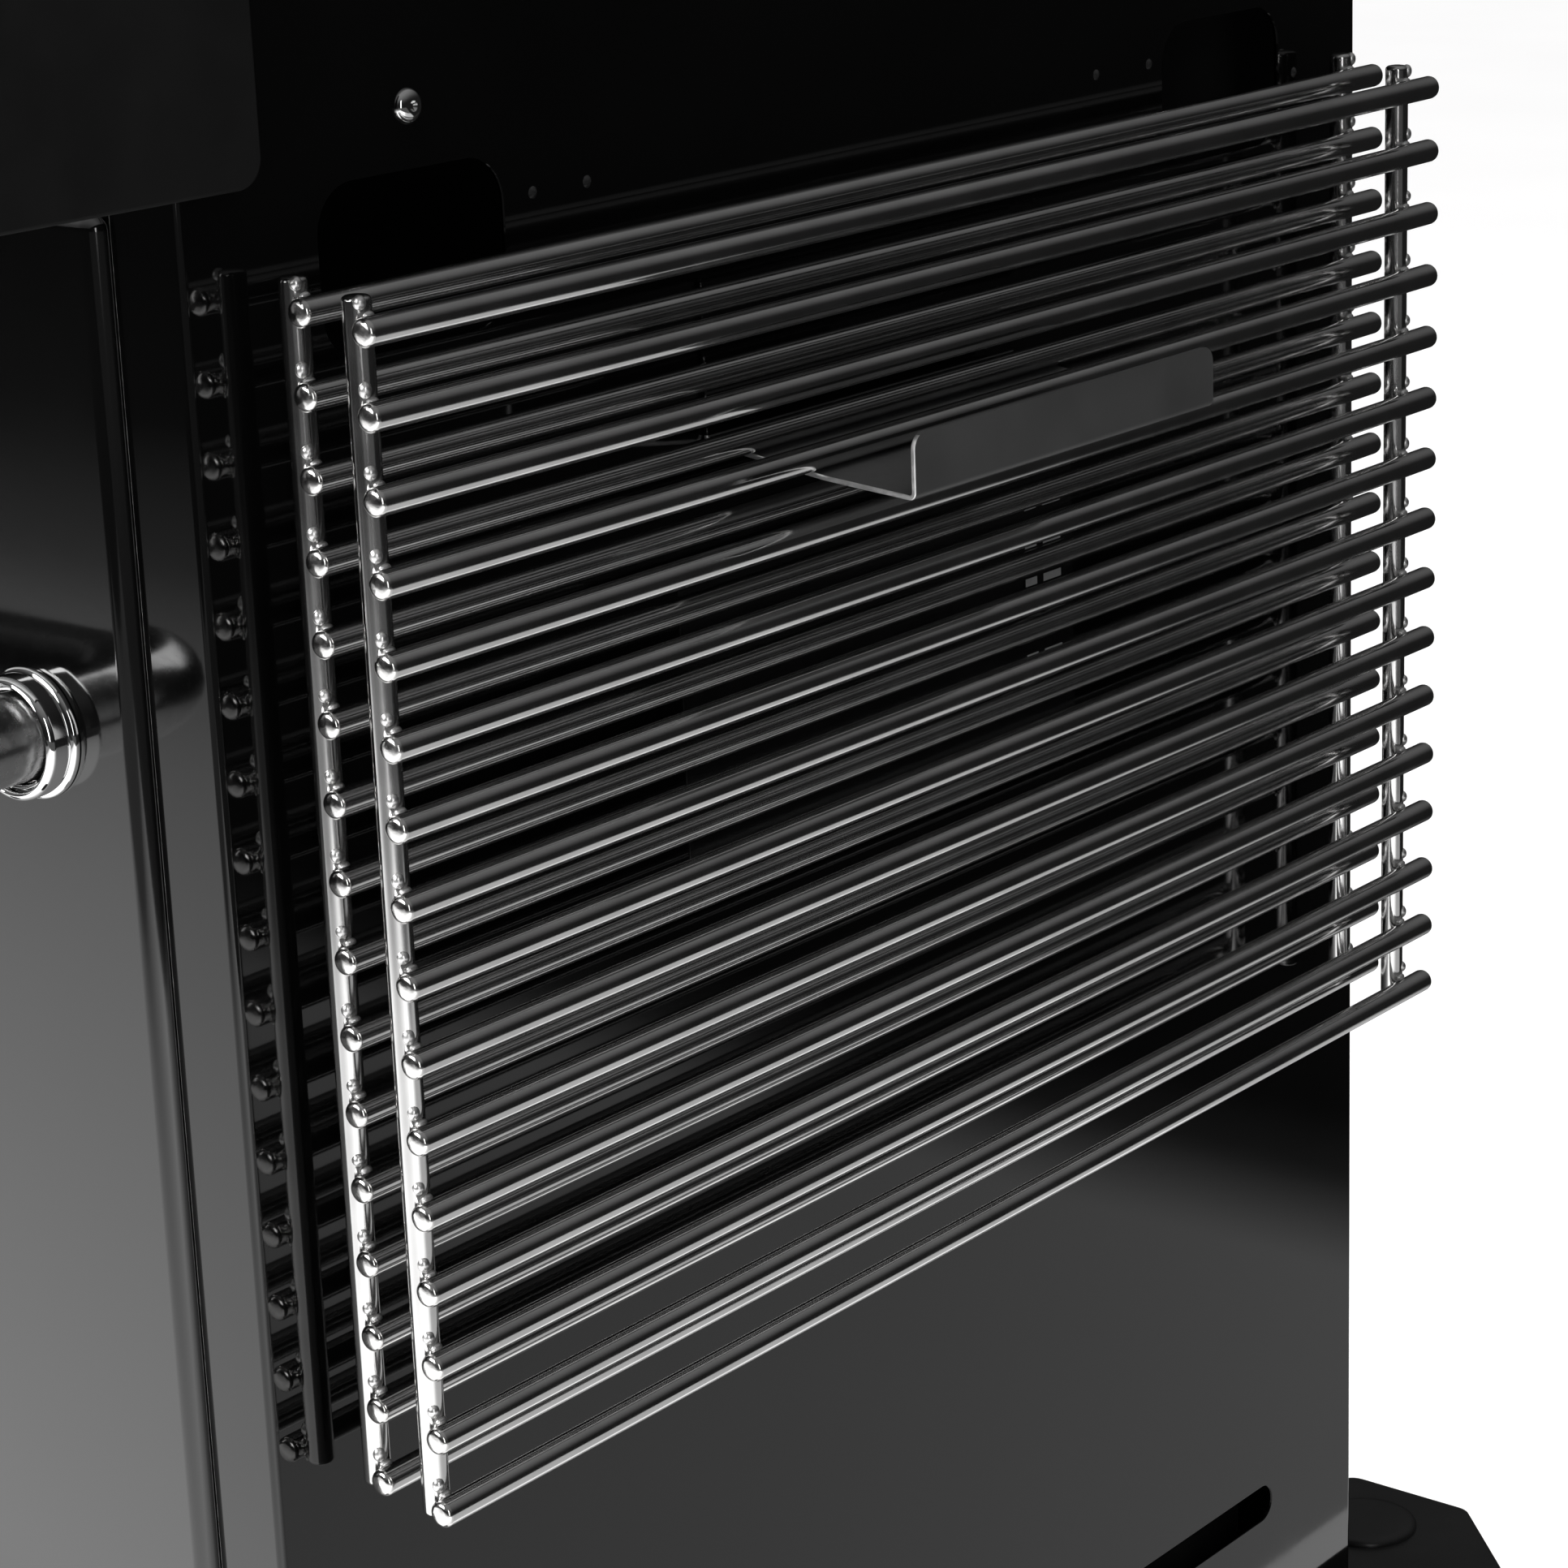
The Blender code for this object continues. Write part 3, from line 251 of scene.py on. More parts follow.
def satin_tube():
    """Stainless tube with a fine even satin, which follows its bends."""
    tone = (160.0, 4.0, grey(0.43), grey(0.49))
    return mottled("handle_steel", tone, (420.0, 3.0, 0.21, 0.29), (1500.0, 2.0, 0.000004, 0.3), Metallic=1.0)


def edge_highlight():
    """Bright metal on the eased and cut edges of sheet steel: a painted highlight line along them."""
    tone = (240.0, 4.0, grey(0.62), grey(0.86))
    return mottled("painted_edge_highlight", tone, (500.0, 3.0, 0.35, 0.55), (1200.0, 2.0, 0.00002, 0.4), Metallic=1.0)


def chrome():
    tone = (60.0, 3.0, grey(0.78), grey(0.84))
    relief = (240.0, 2.0, 0.000008, 0.2)
    return mottled("polished_chrome", tone, (90.0, 4.0, 0.025, 0.07), relief, Metallic=1.0)


def galvanised():
    look = Look("aluminised_sheet").set(Metallic=1.0)
    cells = look.tree.nodes.new("ShaderNodeTexVoronoi")
    cells.inputs["Scale"].default_value = 85.0
    look.link(look.place, cells.inputs["Vector"])
    split = look.tree.nodes.new("ShaderNodeSeparateColor")
    look.link(cells.outputs["Color"], split.inputs["Color"])
    spangle = split.outputs["Red"]
    look.color(spangle, (0.0, grey(0.36)), (1.0, grey(0.52)))
    look.link(look.spread(spangle, 0.34, 0.50, 0.0, 1.0), look.shader.inputs["Roughness"])
    return look.bump(look.noise(160.0, 3.0), 0.00003, 0.4).material


def galvanised_bright():
    tone = (70.0, 5.0, grey(0.40, 0.03), grey(0.55, 0.03))
    return mottled("zinc_plate", tone, (110.0, 4.0, 0.24, 0.40), (360.0, 3.0, 0.00002, 0.4), Metallic=1.0)


def porcelain():
    look = Look("speckled_porcelain").set(IOR=1.52)
    look.color(look.noise(620.0, 2.0), (0.60, (0.010, 0.010, 0.014)), (0.72, (0.34, 0.35, 0.38)))
    look.roughness(look.noise(40.0, 3.0), 0.08, 0.16)
    return look.bump(look.noise(120.0, 2.0), 0.00006, 0.4).material


def cast_iron():
    tone = (55.0, 6.0, (0.018, 0.016, 0.015), (0.045, 0.040, 0.036))
    return mottled("seasoned_iron", tone, (90.0, 4.0, 0.50, 0.72), (780.0, 4.0, 0.00035, 0.8), Metallic=0.55)


def brass():
    tone = (70.0, 4.0, (0.44, 0.30, 0.12), (0.62, 0.45, 0.20))
    return mottled("dull_brass", tone, (130.0, 4.0, 0.22, 0.42), (500.0, 3.0, 0.00005, 0.4), Metallic=1.0)


def woven_rope():
    look = Look("woven_rope")
    wave = look.tree.nodes.new("ShaderNodeTexWave")
    wave.inputs["Scale"].default_value = 160.0
    wave.inputs["Distortion"].default_value = 3.0
    wave.bands_direction = "DIAGONAL"
    look.link(look.place, wave.inputs["Vector"])
    weave = wave.outputs["Fac"]
    look.color(weave, (0.1, (0.13, 0.12, 0.11)), (0.9, (0.38, 0.36, 0.33)))
    look.set(Roughness=0.9)
    return look.bump(weave, 0.0009, 0.9).material


def moulded(name, value, rough=(0.30, 0.42), grain=900.0):
    tone = (45.0, 4.0, grey(value * 0.85), grey(value * 1.15))
    return mottled(name, tone, (150.0, 4.0, *rough), (grain, 2.0, 0.00004, 0.5))


def printed(name, value):
    """Flat ink for tick marks and blocks."""
    return mottled(name, (380.0, 3.0, grey(value * 0.9), grey(value)), (200.0, 3.0, 0.35, 0.5))


def needle_red():
    tone = (300.0, 3.0, (0.42, 0.02, 0.015), (0.56, 0.03, 0.02))
    return mottled("needle_enamel", tone, (300.0, 3.0, 0.25, 0.4))


# Mesh helpers

PIECES = []


def new_object(name, bm, finish, smooth=40.0):
    bmesh.ops.recalc_face_normals(bm, faces=bm.faces)
    mesh = bpy.data.meshes.new(name)
    bm.to_mesh(mesh)
    bm.free()
    mesh.materials.append(finish)
    for polygon in mesh.polygons:
        polygon.use_smooth = True
    obj = bpy.data.objects.new(name, mesh)
    bpy.context.scene.collection.objects.link(obj)
    mesh.set_sharp_from_angle(angle=math.radians(smooth))
    PIECES.append(obj)
    return obj


def mm(*pairs):
    """Points given in millimetres."""
    return [(a * MM, b * MM) for a, b in pairs]


def oblong(left, right, low, high):
    """The corners of a rectangle."""
    return [Vector(corner) for corner in ((left, low), (right, low), (right, high), (left, high))]


def bridge(bm, first, second):
    """Joins two closed rings of vertices with faces."""
    count = len(first)
    for i in range(count):
        n = (i + 1) % count
        bm.faces.new((first[i], first[n], second[n], second[i]))


def bridge_all(bm, rings):
    for first, second in zip(rings, rings[1:]):
        bridge(bm, first, second)


def close_strip(bm, ring):
    """Caps the ring of a strip, whose two long sides run in opposite directions, with a row of quads."""
    count = len(ring)
    for i in range(count // 2 - 1):
        bm.faces.new((ring[i], ring[i + 1], ring[count - 2 - i], ring[count - 1 - i]))


def bake_modifiers(obj):
    """Applies the object's modifiers to its mesh."""
    bpy.context.view_layer.update()
    evaluated = obj.evaluated_get(bpy.context.evaluated_depsgraph_get())
    mesh = bpy.data.meshes.new_from_object(evaluated)
    obj.modifiers.clear()
    obj.data = mesh
    return obj


def settle_normals():
    """Keeps broad flat faces flat in reflections, beside their rounded edges."""
    for obj in PIECES:
        weigh = obj.modifiers.new("weigh", "WEIGHTED_NORMAL")
        weigh.keep_sharp = True
        weigh.weight = 90
        bake_modifiers(obj)


def carve(obj, *cutters):
    """Cuts holes with helper solids, which are then removed."""
    for cutter in cutters:
        hole = obj.modifiers.new("hole", "BOOLEAN")
        hole.operation = "DIFFERENCE"
        hole.solver = "EXACT"
        hole.object = cutter
    bake_modifiers(obj)
    for cutter in cutters:
        PIECES.remove(cutter)
        bpy.data.objects.remove(cutter, do_unlink=True)
    return obj


def attach(obj, body):
    """A detail with no CAD node of its own."""
    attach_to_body(obj, body)
    return obj


def lathe(bm, profile, place, steps=48, closed=False):
    """Turns (radius, height) points about local Z and moves the result to place."""
    rings = []
    for radius, height in profile:
        if radius < 1e-7:
            rings.append([bm.verts.new(place @ Vector((0, 0, height)))])
            continue
        ring = []
        for k in range(steps):
            angle = 2 * math.pi * k / steps
            spot = Vector((radius * math.cos(angle), radius * math.sin(angle), height))
            ring.append(bm.verts.new(place @ spot))
        rings.append(ring)
    pairs = list(zip(rings, rings[1:]))
    if closed:
        pairs.append((rings[-1], rings[0]))
    for first, second in pairs:
        for k in range(steps):
            n = (k + 1) % steps
            if len(first) == 1 and len(second) == 1:
                continue
            if len(first) == 1:
                bm.faces.new((first[0], second[k], second[n]))
            elif len(second) == 1:
                bm.faces.new((first[k], second[0], first[n]))
            else:
                bm.faces.new((first[k], second[k], second[n], first[n]))


def facing(point, direction):
    """A matrix that takes local +Z to a direction at a point."""
    turn = Vector(direction).normalized().to_track_quat("Z", "Y").to_matrix().to_4x4()
    return Matrix.Translation(point) @ turn


def eased_rod(bm, start, end, radius, steps=28, near=0.35, far=0.35):
    """A round bar with slightly crowned ends. near and far are the rounding at each end, in radii."""
    start = Vector(start)
    end = Vector(end)
    length = (end - start).length

    def cut_end(ease):
        ease *= radius
        flat = radius - ease
        crown = 0.06 * radius
        points = [(0.0, crown), (flat * 0.6, crown * 0.7)]
        for k in range(5):
            angle = math.pi / 2 * k / 4
            points.append((flat + ease * math.sin(angle), ease * (math.cos(angle) - 1)))
        return points

    top = [(r, length - radius * 0.06 + h) for r, h in cut_end(far)]
    bottom = [(r, radius * 0.06 - h) for r, h in reversed(cut_end(near))]
    lathe(bm, top + bottom, facing(start, end - start), steps)


def bead(bm, centre, size):
    """A small squashed ball, such as a weld."""
    place = Matrix.Translation(centre) @ Matrix.Diagonal((*size, 1.0))
    bmesh.ops.create_uvsphere(bm, u_segments=14, v_segments=9, radius=1.0, matrix=place)


def corner_arc(before, corner, after, radius, steps):
    """The points that round off one corner, or the corner itself where the radius is zero."""
    if radius <= 0:
        return [corner]
    before = (before - corner).normalized()
    after = (after - corner).normalized()
    half = before.angle(after) / 2
    middle = corner + (before + after).normalized() * (radius / math.sin(half))
    start = corner + before * (radius / math.tan(half)) - middle
    sweep = start.angle_signed(corner + after * (radius / math.tan(half)) - middle)
    return [middle + Matrix.Rotation(-sweep * k / steps, 2) @ start for k in range(steps + 1)]


def round_corners(corners, radius, steps=6):
    """A closed outline with its corners rounded, by one radius or by one for each corner."""
    corners = [Vector(corner) for corner in corners]
    count = len(corners)
    radii = radius if isinstance(radius, (list, tuple)) else [radius] * count
    points = []
    for i in range(count):
        points += corner_arc(corners[i - 1], corners[i], corners[(i + 1) % count], radii[i], steps)
    return points


def open_rounded(line, radii, steps):
    """An open line with its inner corners rounded."""
    points = [line[0]]
    for i in range(1, len(line) - 1):
        points += corner_arc(line[i - 1], line[i], line[i + 1], radii[i], steps)
    return points + [line[-1]]


def slab(bm, outline, low, high, place, chamfer=0.0):
    """A flat outline raised from low to high along local Z, with its upper and lower edges eased."""
    centre = sum(outline, Vector((0, 0))) / len(outline)

    def shrunk(amount):
        result = []
        count = len(outline)
        for i in range(count):
            a = (outline[i] - outline[i - 1]).normalized()
            b = (outline[(i + 1) % count] - outline[i]).normalized()
            normal = Vector((-(a + b).y, (a + b).x)).normalized()
            if normal.dot(centre - outline[i]) < 0:
                normal = -normal
            result.append(outline[i] + normal * amount)
        return result

    levels = [(low, chamfer), (low + chamfer * 0.35, chamfer * 0.35), (low + chamfer, 0.0)]
    levels += [(high - chamfer, 0.0), (high - chamfer * 0.35, chamfer * 0.35), (high, chamfer)]
    if chamfer <= 0:
        levels = [(low, 0.0), (high, 0.0)]
    rings = []
    for height, amount in levels:
        ring = shrunk(amount) if amount else outline
        rings.append([bm.verts.new(place @ Vector((p.x, p.y, height))) for p in ring])
    bridge_all(bm, rings)
    bm.faces.new(rings[0])
    bm.faces.new(rings[-1])


def looking_x(x, y, z):
    """Local X, Y, Z become world Y, Z, X."""
    return Matrix(((0, 0, 1, x), (1, 0, 0, y), (0, 1, 0, z), (0, 0, 0, 1)))


def looking_front(x, y, z):
    """Local Z points to world -Y, local X to world X and local Y to world Z."""
    return Matrix(((1, 0, 0, x), (0, 0, -1, y), (0, 1, 0, z), (0, 0, 0, 1)))


def swept_tube(name, points, radius, finish, steps=40):
    """A round tube along a smooth line."""
    curve = bpy.data.curves.new(name, "CURVE")
    curve.dimensions = "3D"
    curve.bevel_depth = radius
    curve.bevel_resolution = steps // 4 - 1
    curve.use_fill_caps = True
    spline = curve.splines.new("POLY")
    spline.points.add(len(points) - 1)
    for point, place in zip(spline.points, points):
        point.co = (*place, 1.0)
    obj = bpy.data.objects.new(name, curve)
    bpy.context.scene.collection.objects.link(obj)
    bake = bpy.data.meshes.new_from_object(obj.evaluated_get(bpy.context.evaluated_depsgraph_get()))
    bpy.data.objects.remove(obj, do_unlink=True)
    bm = bmesh.new()
    bm.from_mesh(bake)
    bmesh.ops.remove_doubles(bm, verts=bm.verts, dist=1e-5)
    return new_object(name, bm, finish)


def stand_for(obj, body, node):
    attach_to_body(obj, body)
    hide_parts(node)


def refine(node, body, finish, width=0.0004, segments=2, angle=30.0):
    """A copy of a CAD node with its sharp edges eased, which is shown in its place."""
    source = NODES[node]
    bm = bmesh.new()
    bm.from_mesh(source.data)
    bmesh.ops.remove_doubles(bm, verts=bm.verts, dist=1e-6)
    bmesh.ops.dissolve_limit(bm, angle_limit=math.radians(1.0), verts=bm.verts, edges=bm.edges)
    obj = new_object(node + "_finished", bm, finish)
    ease = obj.modifiers.new("ease", "BEVEL")
    ease.width = width
    ease.segments = segments
    ease.limit_method = "ANGLE"
    ease.angle_limit = math.radians(angle)
    ease.harden_normals = True
    bake_modifiers(obj)
    stand_for(obj, body, node)
    return obj


# Grates


def make_grate(name, node, body, hung):
    """Straight rods welded to two cross rods, built in the grate's own plane and then placed."""
    low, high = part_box(node)
    span = ROD_PITCH * (ROD_COUNT - 1)
    if hung:
        place = looking_x(low.x + ROD_RADIUS, low.y + GRATE_LENGTH / 2, high.z - CROSS_PAST - span / 2)
    else:
        middle = Vector((low.x + GRATE_LENGTH / 2, high.y - CROSS_PAST - span / 2, low.z + ROD_RADIUS))
        place = Matrix.Translation(middle)
    half = GRATE_LENGTH / 2
    rods = bmesh.new()
    for i in range(ROD_COUNT):
        y = span / 2 - i * ROD_PITCH
        start = (-half - ROD_AHEAD, y, ROD_LIFT)
        eased_rod(rods, start, (half, y, ROD_LIFT), ROD_RADIUS, 28, ROD_CUT, ROD_CUT)
    cross_x = (-half + CROSS_IN_NEAR, half - CROSS_IN_FAR)
    for x in cross_x:
        eased_rod(rods, (x, -span / 2 - ROD_RADIUS, 0), (x, span / 2 + CROSS_PAST, 0), ROD_RADIUS)
    rods.transform(place)
    grate = new_object(name, rods, FINISH["rod"])
    grate.data.materials.append(FINISH["weld"])
    flat = place.inverted()
    for polygon in grate.data.polygons:
        along = (flat @ polygon.center).x
        if along > half - WELD_DEPTH or along < WELD_DEPTH - half - ROD_AHEAD:
            polygon.material_index = 1
    stand_for(grate, body, node)
    welds = bmesh.new()
    for x in cross_x:
        for i in range(ROD_COUNT):
            y = span / 2 - i * ROD_PITCH
            wobble = math.sin(i * 2.3 + x * 40)
            for side in (-1, 1):
                size = (2.0 * MM, (1.1 + 0.15 * wobble * side) * MM, (1.3 - 0.15 * wobble) * MM)
                centre = Vector((x + 0.3 * wobble * MM, y + side * 3.3 * MM, ROD_LIFT * 0.5))
                bead(welds, centre, size)
            drop = Vector((x + math.copysign(1.9 * MM, x), y + (6.6 + 0.3 * wobble) * MM, 2.9 * MM))
            bead(welds, drop, (1.8 * MM, (2.2 - 0.2 * wobble) * MM, 1.8 * MM))
    welds.transform(place)
    attach(new_object(name + "_welds", welds, FINISH["bead"]), body)


def make_hook():
    """The bent bracket, with rounded folds and rounded corners on its lip."""
    low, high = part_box("side_hook")
    grate_low, grate_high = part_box("hung_grate_outer")
    ease = 0.3 * MM
    start = low.x + SHEET / 2
    reach = high.x - SHEET / 2
    rod_x = grate_low.x + ROD_RADIUS + ROD_LIFT
    bend_x = rod_x + 4 * MM
    under = grate_high.z - CROSS_PAST - 3 * ROD_PITCH - ROD_RADIUS - 0.3 * MM - SHEET / 2
    root_z = under + HOOK_STEEP * (rod_x - start)
    bend_z = under - HOOK_STEEP * (bend_x - rod_x)
    lip_z = bend_z - HOOK_FALL * (reach - bend_x)
    line = [(start, high.z), (start, root_z), (bend_x, bend_z), (reach, lip_z), (reach, lip_z + HOOK_LIP)]
    path = open_rounded([Vector(point) for point in line], [0.0, 2.2 * MM, 0.0, 1.6 * MM, 0.0], 6)
    rows = []
    for index, point in enumerate(path[:-1]):
        run = (path[index + 1] - path[max(index - 1, 0)]).normalized()
        rows.append((point, Vector((-run.y, run.x)), 0.0))
    corner = 5.0 * MM
    for k in range(7):
        angle = math.pi / 2 * k / 6
        up = path[-1].y - corner + corner * math.sin(angle)
        rows.append((Vector((path[-1].x, up)), Vector((-1.0, 0.0)), corner * (1 - math.cos(angle))))
    bm = bmesh.new()
    rings = []
    half_ring = ((-1, ease), (-1, 0.0), (1, 0.0), (1, ease))
    for point, normal, inset in rows:
        ring = []
        for end, order in ((low.y + inset, 1), (high.y - inset, -1)):
            for side, edge in half_ring[::order]:
                depth = SHEET / 2 if edge else SHEET / 2 - ease
                flat = point + normal * side * depth
                ring.append(bm.verts.new((flat.x, end + order * edge, flat.y)))
        rings.append(ring)
    bridge_all(bm, rings)
    bm.faces.new(rings[0])
    bm.faces.new(rings[-1])
    hook = new_object("hook_bracket", bm, FINISH["bracket"])
    hook.data.materials.append(FINISH["gloss"])
    hook.data.materials.append(FINISH["edge_highlight"])
    # Faces across the sheet's cut edges take the bright edge finish, a painted highlight line; the upright
    # against the panel takes the gloss enamel.
    for polygon in hook.data.polygons:
        if abs(polygon.normal.y) > 0.4:
            polygon.material_index = 2
        if polygon.center.x < start + SHEET and polygon.center.z > root_z + 3 * MM:
            polygon.material_index = 1
    stand_for(hook, "cabinet", "side_hook")


# Handles and collars


def make_handle(name, node, body, vertical):
    """A tube with a quarter bend at each end, standing on the front."""
    low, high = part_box(node)
    face = high.y
    bend = 30 * MM
    if vertical:
        x = (low.x + high.x) / 2
        start = Vector((x, face, low.z + TUBE_RADIUS))
        end = Vector((x, face, high.z - TUBE_RADIUS))
    else:
        z = (low.z + high.z) / 2
        start = Vector((low.x + TUBE_RADIUS, face, z))
        end = Vector((high.x - TUBE_RADIUS, face, z))
    run = (end - start).normalized() * bend
    outward = Vector((0, -1, 0))
    straight = face - (low.y + TUBE_RADIUS) - bend
    turns = [math.pi / 2 * k / 16 for k in range(17)]
    points = [start]
    points += [start + outward * (straight + bend * math.sin(a)) + run * (1 - math.cos(a)) for a in turns]
    points += [end + outward * (straight + bend * math.cos(a)) - run * (1 - math.sin(a)) for a in turns]
    points.append(end)
    handle = swept_tube(name, points, TUBE_RADIUS, FINISH["handle"])
    stand_for(handle, body, node)


def make_collar(node, body):
    """A polished cup round the handle's foot: an open rim, a groove and a flared base."""
    low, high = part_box(node)
    middle = (low + high) / 2
    base = (high.x - low.x) / 2 / MM
    top = (high.y - low.y) / MM
    bore = TUBE_RADIUS / MM + 0.5
    barrel = 17.5
    rim = [(0, 3.4), (0.5, 2.6), (1.2, 3.2), (1.7, 2.6), (1.9, 1.0), (2.3, 0.3), (2.9, 0), (3.6, 0.3)]
    foot = [(0, 3.1), (-0.7, 2.9), (-0.7, 2.4), (0.2, 2.2)]
    profile = [(bore, 0)] + [(bore + out, top - down) for out, down in rim]
    profile += [(barrel - 0.1, top - 1.3), (barrel, top - 2.3)] + [(barrel + out, up) for out, up in foot]
    profile += [(base - 0.2, 1.6), (base, 1.0), (base, 0)]
    bm = bmesh.new()
    lathe(bm, mm(*profile), looking_front(middle.x, high.y, middle.z), 72, closed=True)
    stand_for(new_object(node + "_cup", bm, FINISH["chrome"]), body, node)


# Side panel details


def make_side_details():
    """Screws and rivets on both side panels."""
    rivet = mm((0, 0.7), (1.0, 0.6), (1.8, 0.0), (0, -0.2))
    for sign, node in ((1, "side_panel_right"), (-1, "side_panel_left")):
        low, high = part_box(node)
        face = high.x if sign > 0 else low.x
        screws = bmesh.new()
        for from_front, up in mm(*SCREWS):
            place = facing((face, low.y + from_front, low.z + up), (sign, 0, 0))
            pan_screw(screws, place, 4.95 * MM, 2.6 * MM)
        attach(new_object(f"pan_screws_{node}", screws, FINISH["screw"]), "cabinet")
        rivets = bmesh.new()
        for from_front, up in mm(*RIVETS):
            lathe(rivets, rivet, facing((face, low.y + from_front, low.z + up), (sign, 0, 0)), 20)
        attach(new_object(f"rivets_{node}", rivets, FINISH["rivet"]), "cabinet")


def make_data_plate():
    """The blank plate on the right side panel, with a few faint dashes where print would be."""
    low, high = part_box("side_panel_right")
    place = looking_x(high.x, low.y + 290.6 * MM, low.z + 465.0 * MM)
    plate = bmesh.new()
    outline = round_corners(mm((-102, -45), (102, -45), (102, 45), (-102, 45)), 3 * MM)
    slab(plate, outline, 0.0, 0.5 * MM, place, 0.15 * MM)
    attach(new_object("blank_data_plate", plate, FINISH["plate"]), "cabinet")
    dashes = bmesh.new()
    for middle, long in mm((78.0, 3.2), (90.0, 5.0)):
        for row in range(6):
            up = (32.0 - 13.0 * row) * MM
            outline = oblong(middle - long, middle + long, up - 1.3 * MM, up + 1.3 * MM)
            slab(dashes, outline, 0.45 * MM, 0.58 * MM, place)
    attach(new_object("plate_dashes", dashes, FINISH["dash"]), "cabinet")


def pan_screw(bm, place, radius, height):
    """A domed screw head with a small socket in its crown. Its profile is in radii and heights."""
    dome = ((0, 0.55), (0.16, 0.60), (0.30, 0.98), (0.55, 0.93), (0.80, 0.72), (0.95, 0.40))
    profile = [(radius * out, height * up) for out, up in dome]
    profile += [(radius, 0.05 * MM), (radius * 0.96, -0.1 * MM), (0, -0.1 * MM)]
    lathe(bm, profile, place, 32)


# Casters


def make_caster(corner):
    """The octagonal plate over a caster, with the low boss of its stem."""
    node = f"caster_pod_{corner}"
    low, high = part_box(node)
    boss = (high.z - low.z - POD_THICK) / MM
    x = (high.x - low.x) / 2
    y = (high.y - low.y) / 2
    cut_x = x - POD_CHAMFER
    cut_y = y - POD_CHAMFER
    corners = [(x, -cut_y), (x, cut_y), (cut_x, y), (-cut_x, y)]
    corners += [(-a, -b) for a, b in corners]
    middle = (low + high) / 2
    bm = bmesh.new()
    plate = Matrix.Translation((middle.x, middle.y, low.z))
    slab(bm, round_corners(corners, 9 * MM, 6), 0.0, POD_THICK, plate, 2.6 * MM)
    boss_y = high.y - POD_BOSS_IN if corner.startswith("rear") else low.y + POD_BOSS_IN
    profile = [(0, boss), (16.5, boss), (19.3, boss * 0.96), (20.8, boss * 0.70), (21.5, boss * 0.30)]
    profile += [(21.5, -0.1), (0, -0.1)]
    lathe(bm, mm(*profile), Matrix.Translation((middle.x, boss_y, low.z + POD_THICK)), 48)
    obj = new_object(f"caster_plate_{corner}", bm, FINISH["pod"], 50.0)
    stand_for(obj, "cabinet", node)


# Sheet metal


def open_shell(node, fold, widen=0.0, cutters=()):
    """A front's enamelled sheet in its CAD node's own box, open behind, with round folds."""
    low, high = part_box(node)
    low.x -= widen
    high.x += widen
    bm = bmesh.new()
    bmesh.ops.create_cube(bm, size=1.0)
    bmesh.ops.scale(bm, vec=high - low, verts=bm.verts)
    bmesh.ops.translate(bm, vec=(low + high) / 2, verts=bm.verts)
    gone = [face for face in bm.faces if face.normal.y > 0.9]
    bmesh.ops.delete(bm, geom=gone, context="FACES")
    folds = [edge for edge in bm.edges if len(edge.link_faces) == 2]
    bmesh.ops.bevel(bm, geom=folds, offset=fold, segments=7, profile=0.5, affect="EDGES")
    obj = new_object(node + "_sheet", bm, FINISH["front"])
    sheet = obj.modifiers.new("sheet", "SOLIDIFY")
    sheet.thickness = SHEET
    sheet.offset = -1.0
    sheet.use_even_offset = True
    bake_modifiers(obj)
    if cutters:
        carve(obj, *cutters)
    return obj


def hole_maker(outline, depth, place):
    bm = bmesh.new()
    slab(bm, outline, -depth, depth, place)
    return new_object("cutter", bm, FINISH["gloss"])


def round_hole(radius, depth, place, steps=40):
    bm = bmesh.new()
    lathe(bm, [(0, depth), (radius, depth), (radius, -depth), (0, -depth)], place, steps)
    return new_object("cutter", bm, FINISH["gloss"])


def strip_of(path, thickness, low, high, place):
    """Sheet metal of even thickness along an open path in local XY, from low to high along local Z."""
    bm = bmesh.new()
    offset = []
    for index, point in enumerate(path):
        run = (path[min(index + 1, len(path) - 1)] - path[max(index - 1, 0)]).normalized()
        offset.append(point + Vector((-run.y, run.x)) * thickness)
    outline = path + offset[::-1]
    rings = [[bm.verts.new(place @ Vector((p.x, p.y, level))) for p in outline] for level in (low, high)]
    bridge(bm, *rings)
    for ring in rings:
        close_strip(bm, ring)
    return bm


def make_side_panel(node, sign):
    """A side of the cabinet: front flange, round folds, two hand holes and the long low slot."""
    low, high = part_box(node)
    face = high.x if sign > 0 else low.x
    inner = low.x if sign > 0 else high.x
    line = [(inner, low.y), (face, low.y), (face, high.y), (face - sign * 12 * MM, high.y)]
    path = open_rounded([Vector(point) for point in line], [0.0, 2.4 * MM, 2.4 * MM, 0.0], 7)
    bm = strip_of(path, SHEET * sign, low.z, high.z, Matrix())
    lip = Vector((inner, low.y))
    edge = [e for e in bm.edges if all((v.co.xy - lip).length < 1e-6 for v in e.verts)]
    eased = bmesh.ops.bevel(bm, geom=edge, offset=FLANGE_EASE, segments=2, profile=0.5, affect="EDGES")
    # The eased front edge of the flange takes the bright edge finish, a painted highlight line.
    for highlight_sliver in eased["faces"]:
        highlight_sliver.material_index = 1
    obj = new_object(node + "_sheet", bm, FINISH["gloss"])
    obj.data.materials.append(FINISH["edge_highlight"])
    middle = (low.y + high.y) / 2 - 1.0 * MM
    cutters = []
    for end in (-1, 1):
        y = middle + end * VENT_OFF
        outline = round_corners(oblong(y - VENT_W / 2, y + VENT_W / 2, 0, VENT_H), 14 * MM, 10)
        cutters.append(hole_maker(outline, 10 * MM, looking_x(face, 0, low.z + VENT_UP)))
    outline = round_corners(oblong(middle - SLOT_HALF, middle + SLOT_HALF, 0, SLOT_H), SLOT_H * 0.499, 10)
    cutters.append(hole_maker(outline, 10 * MM, looking_x(face, 0, low.z + SLOT_UP)))
    carve(obj, *cutters)
    stand_for(obj, "cabinet", node)


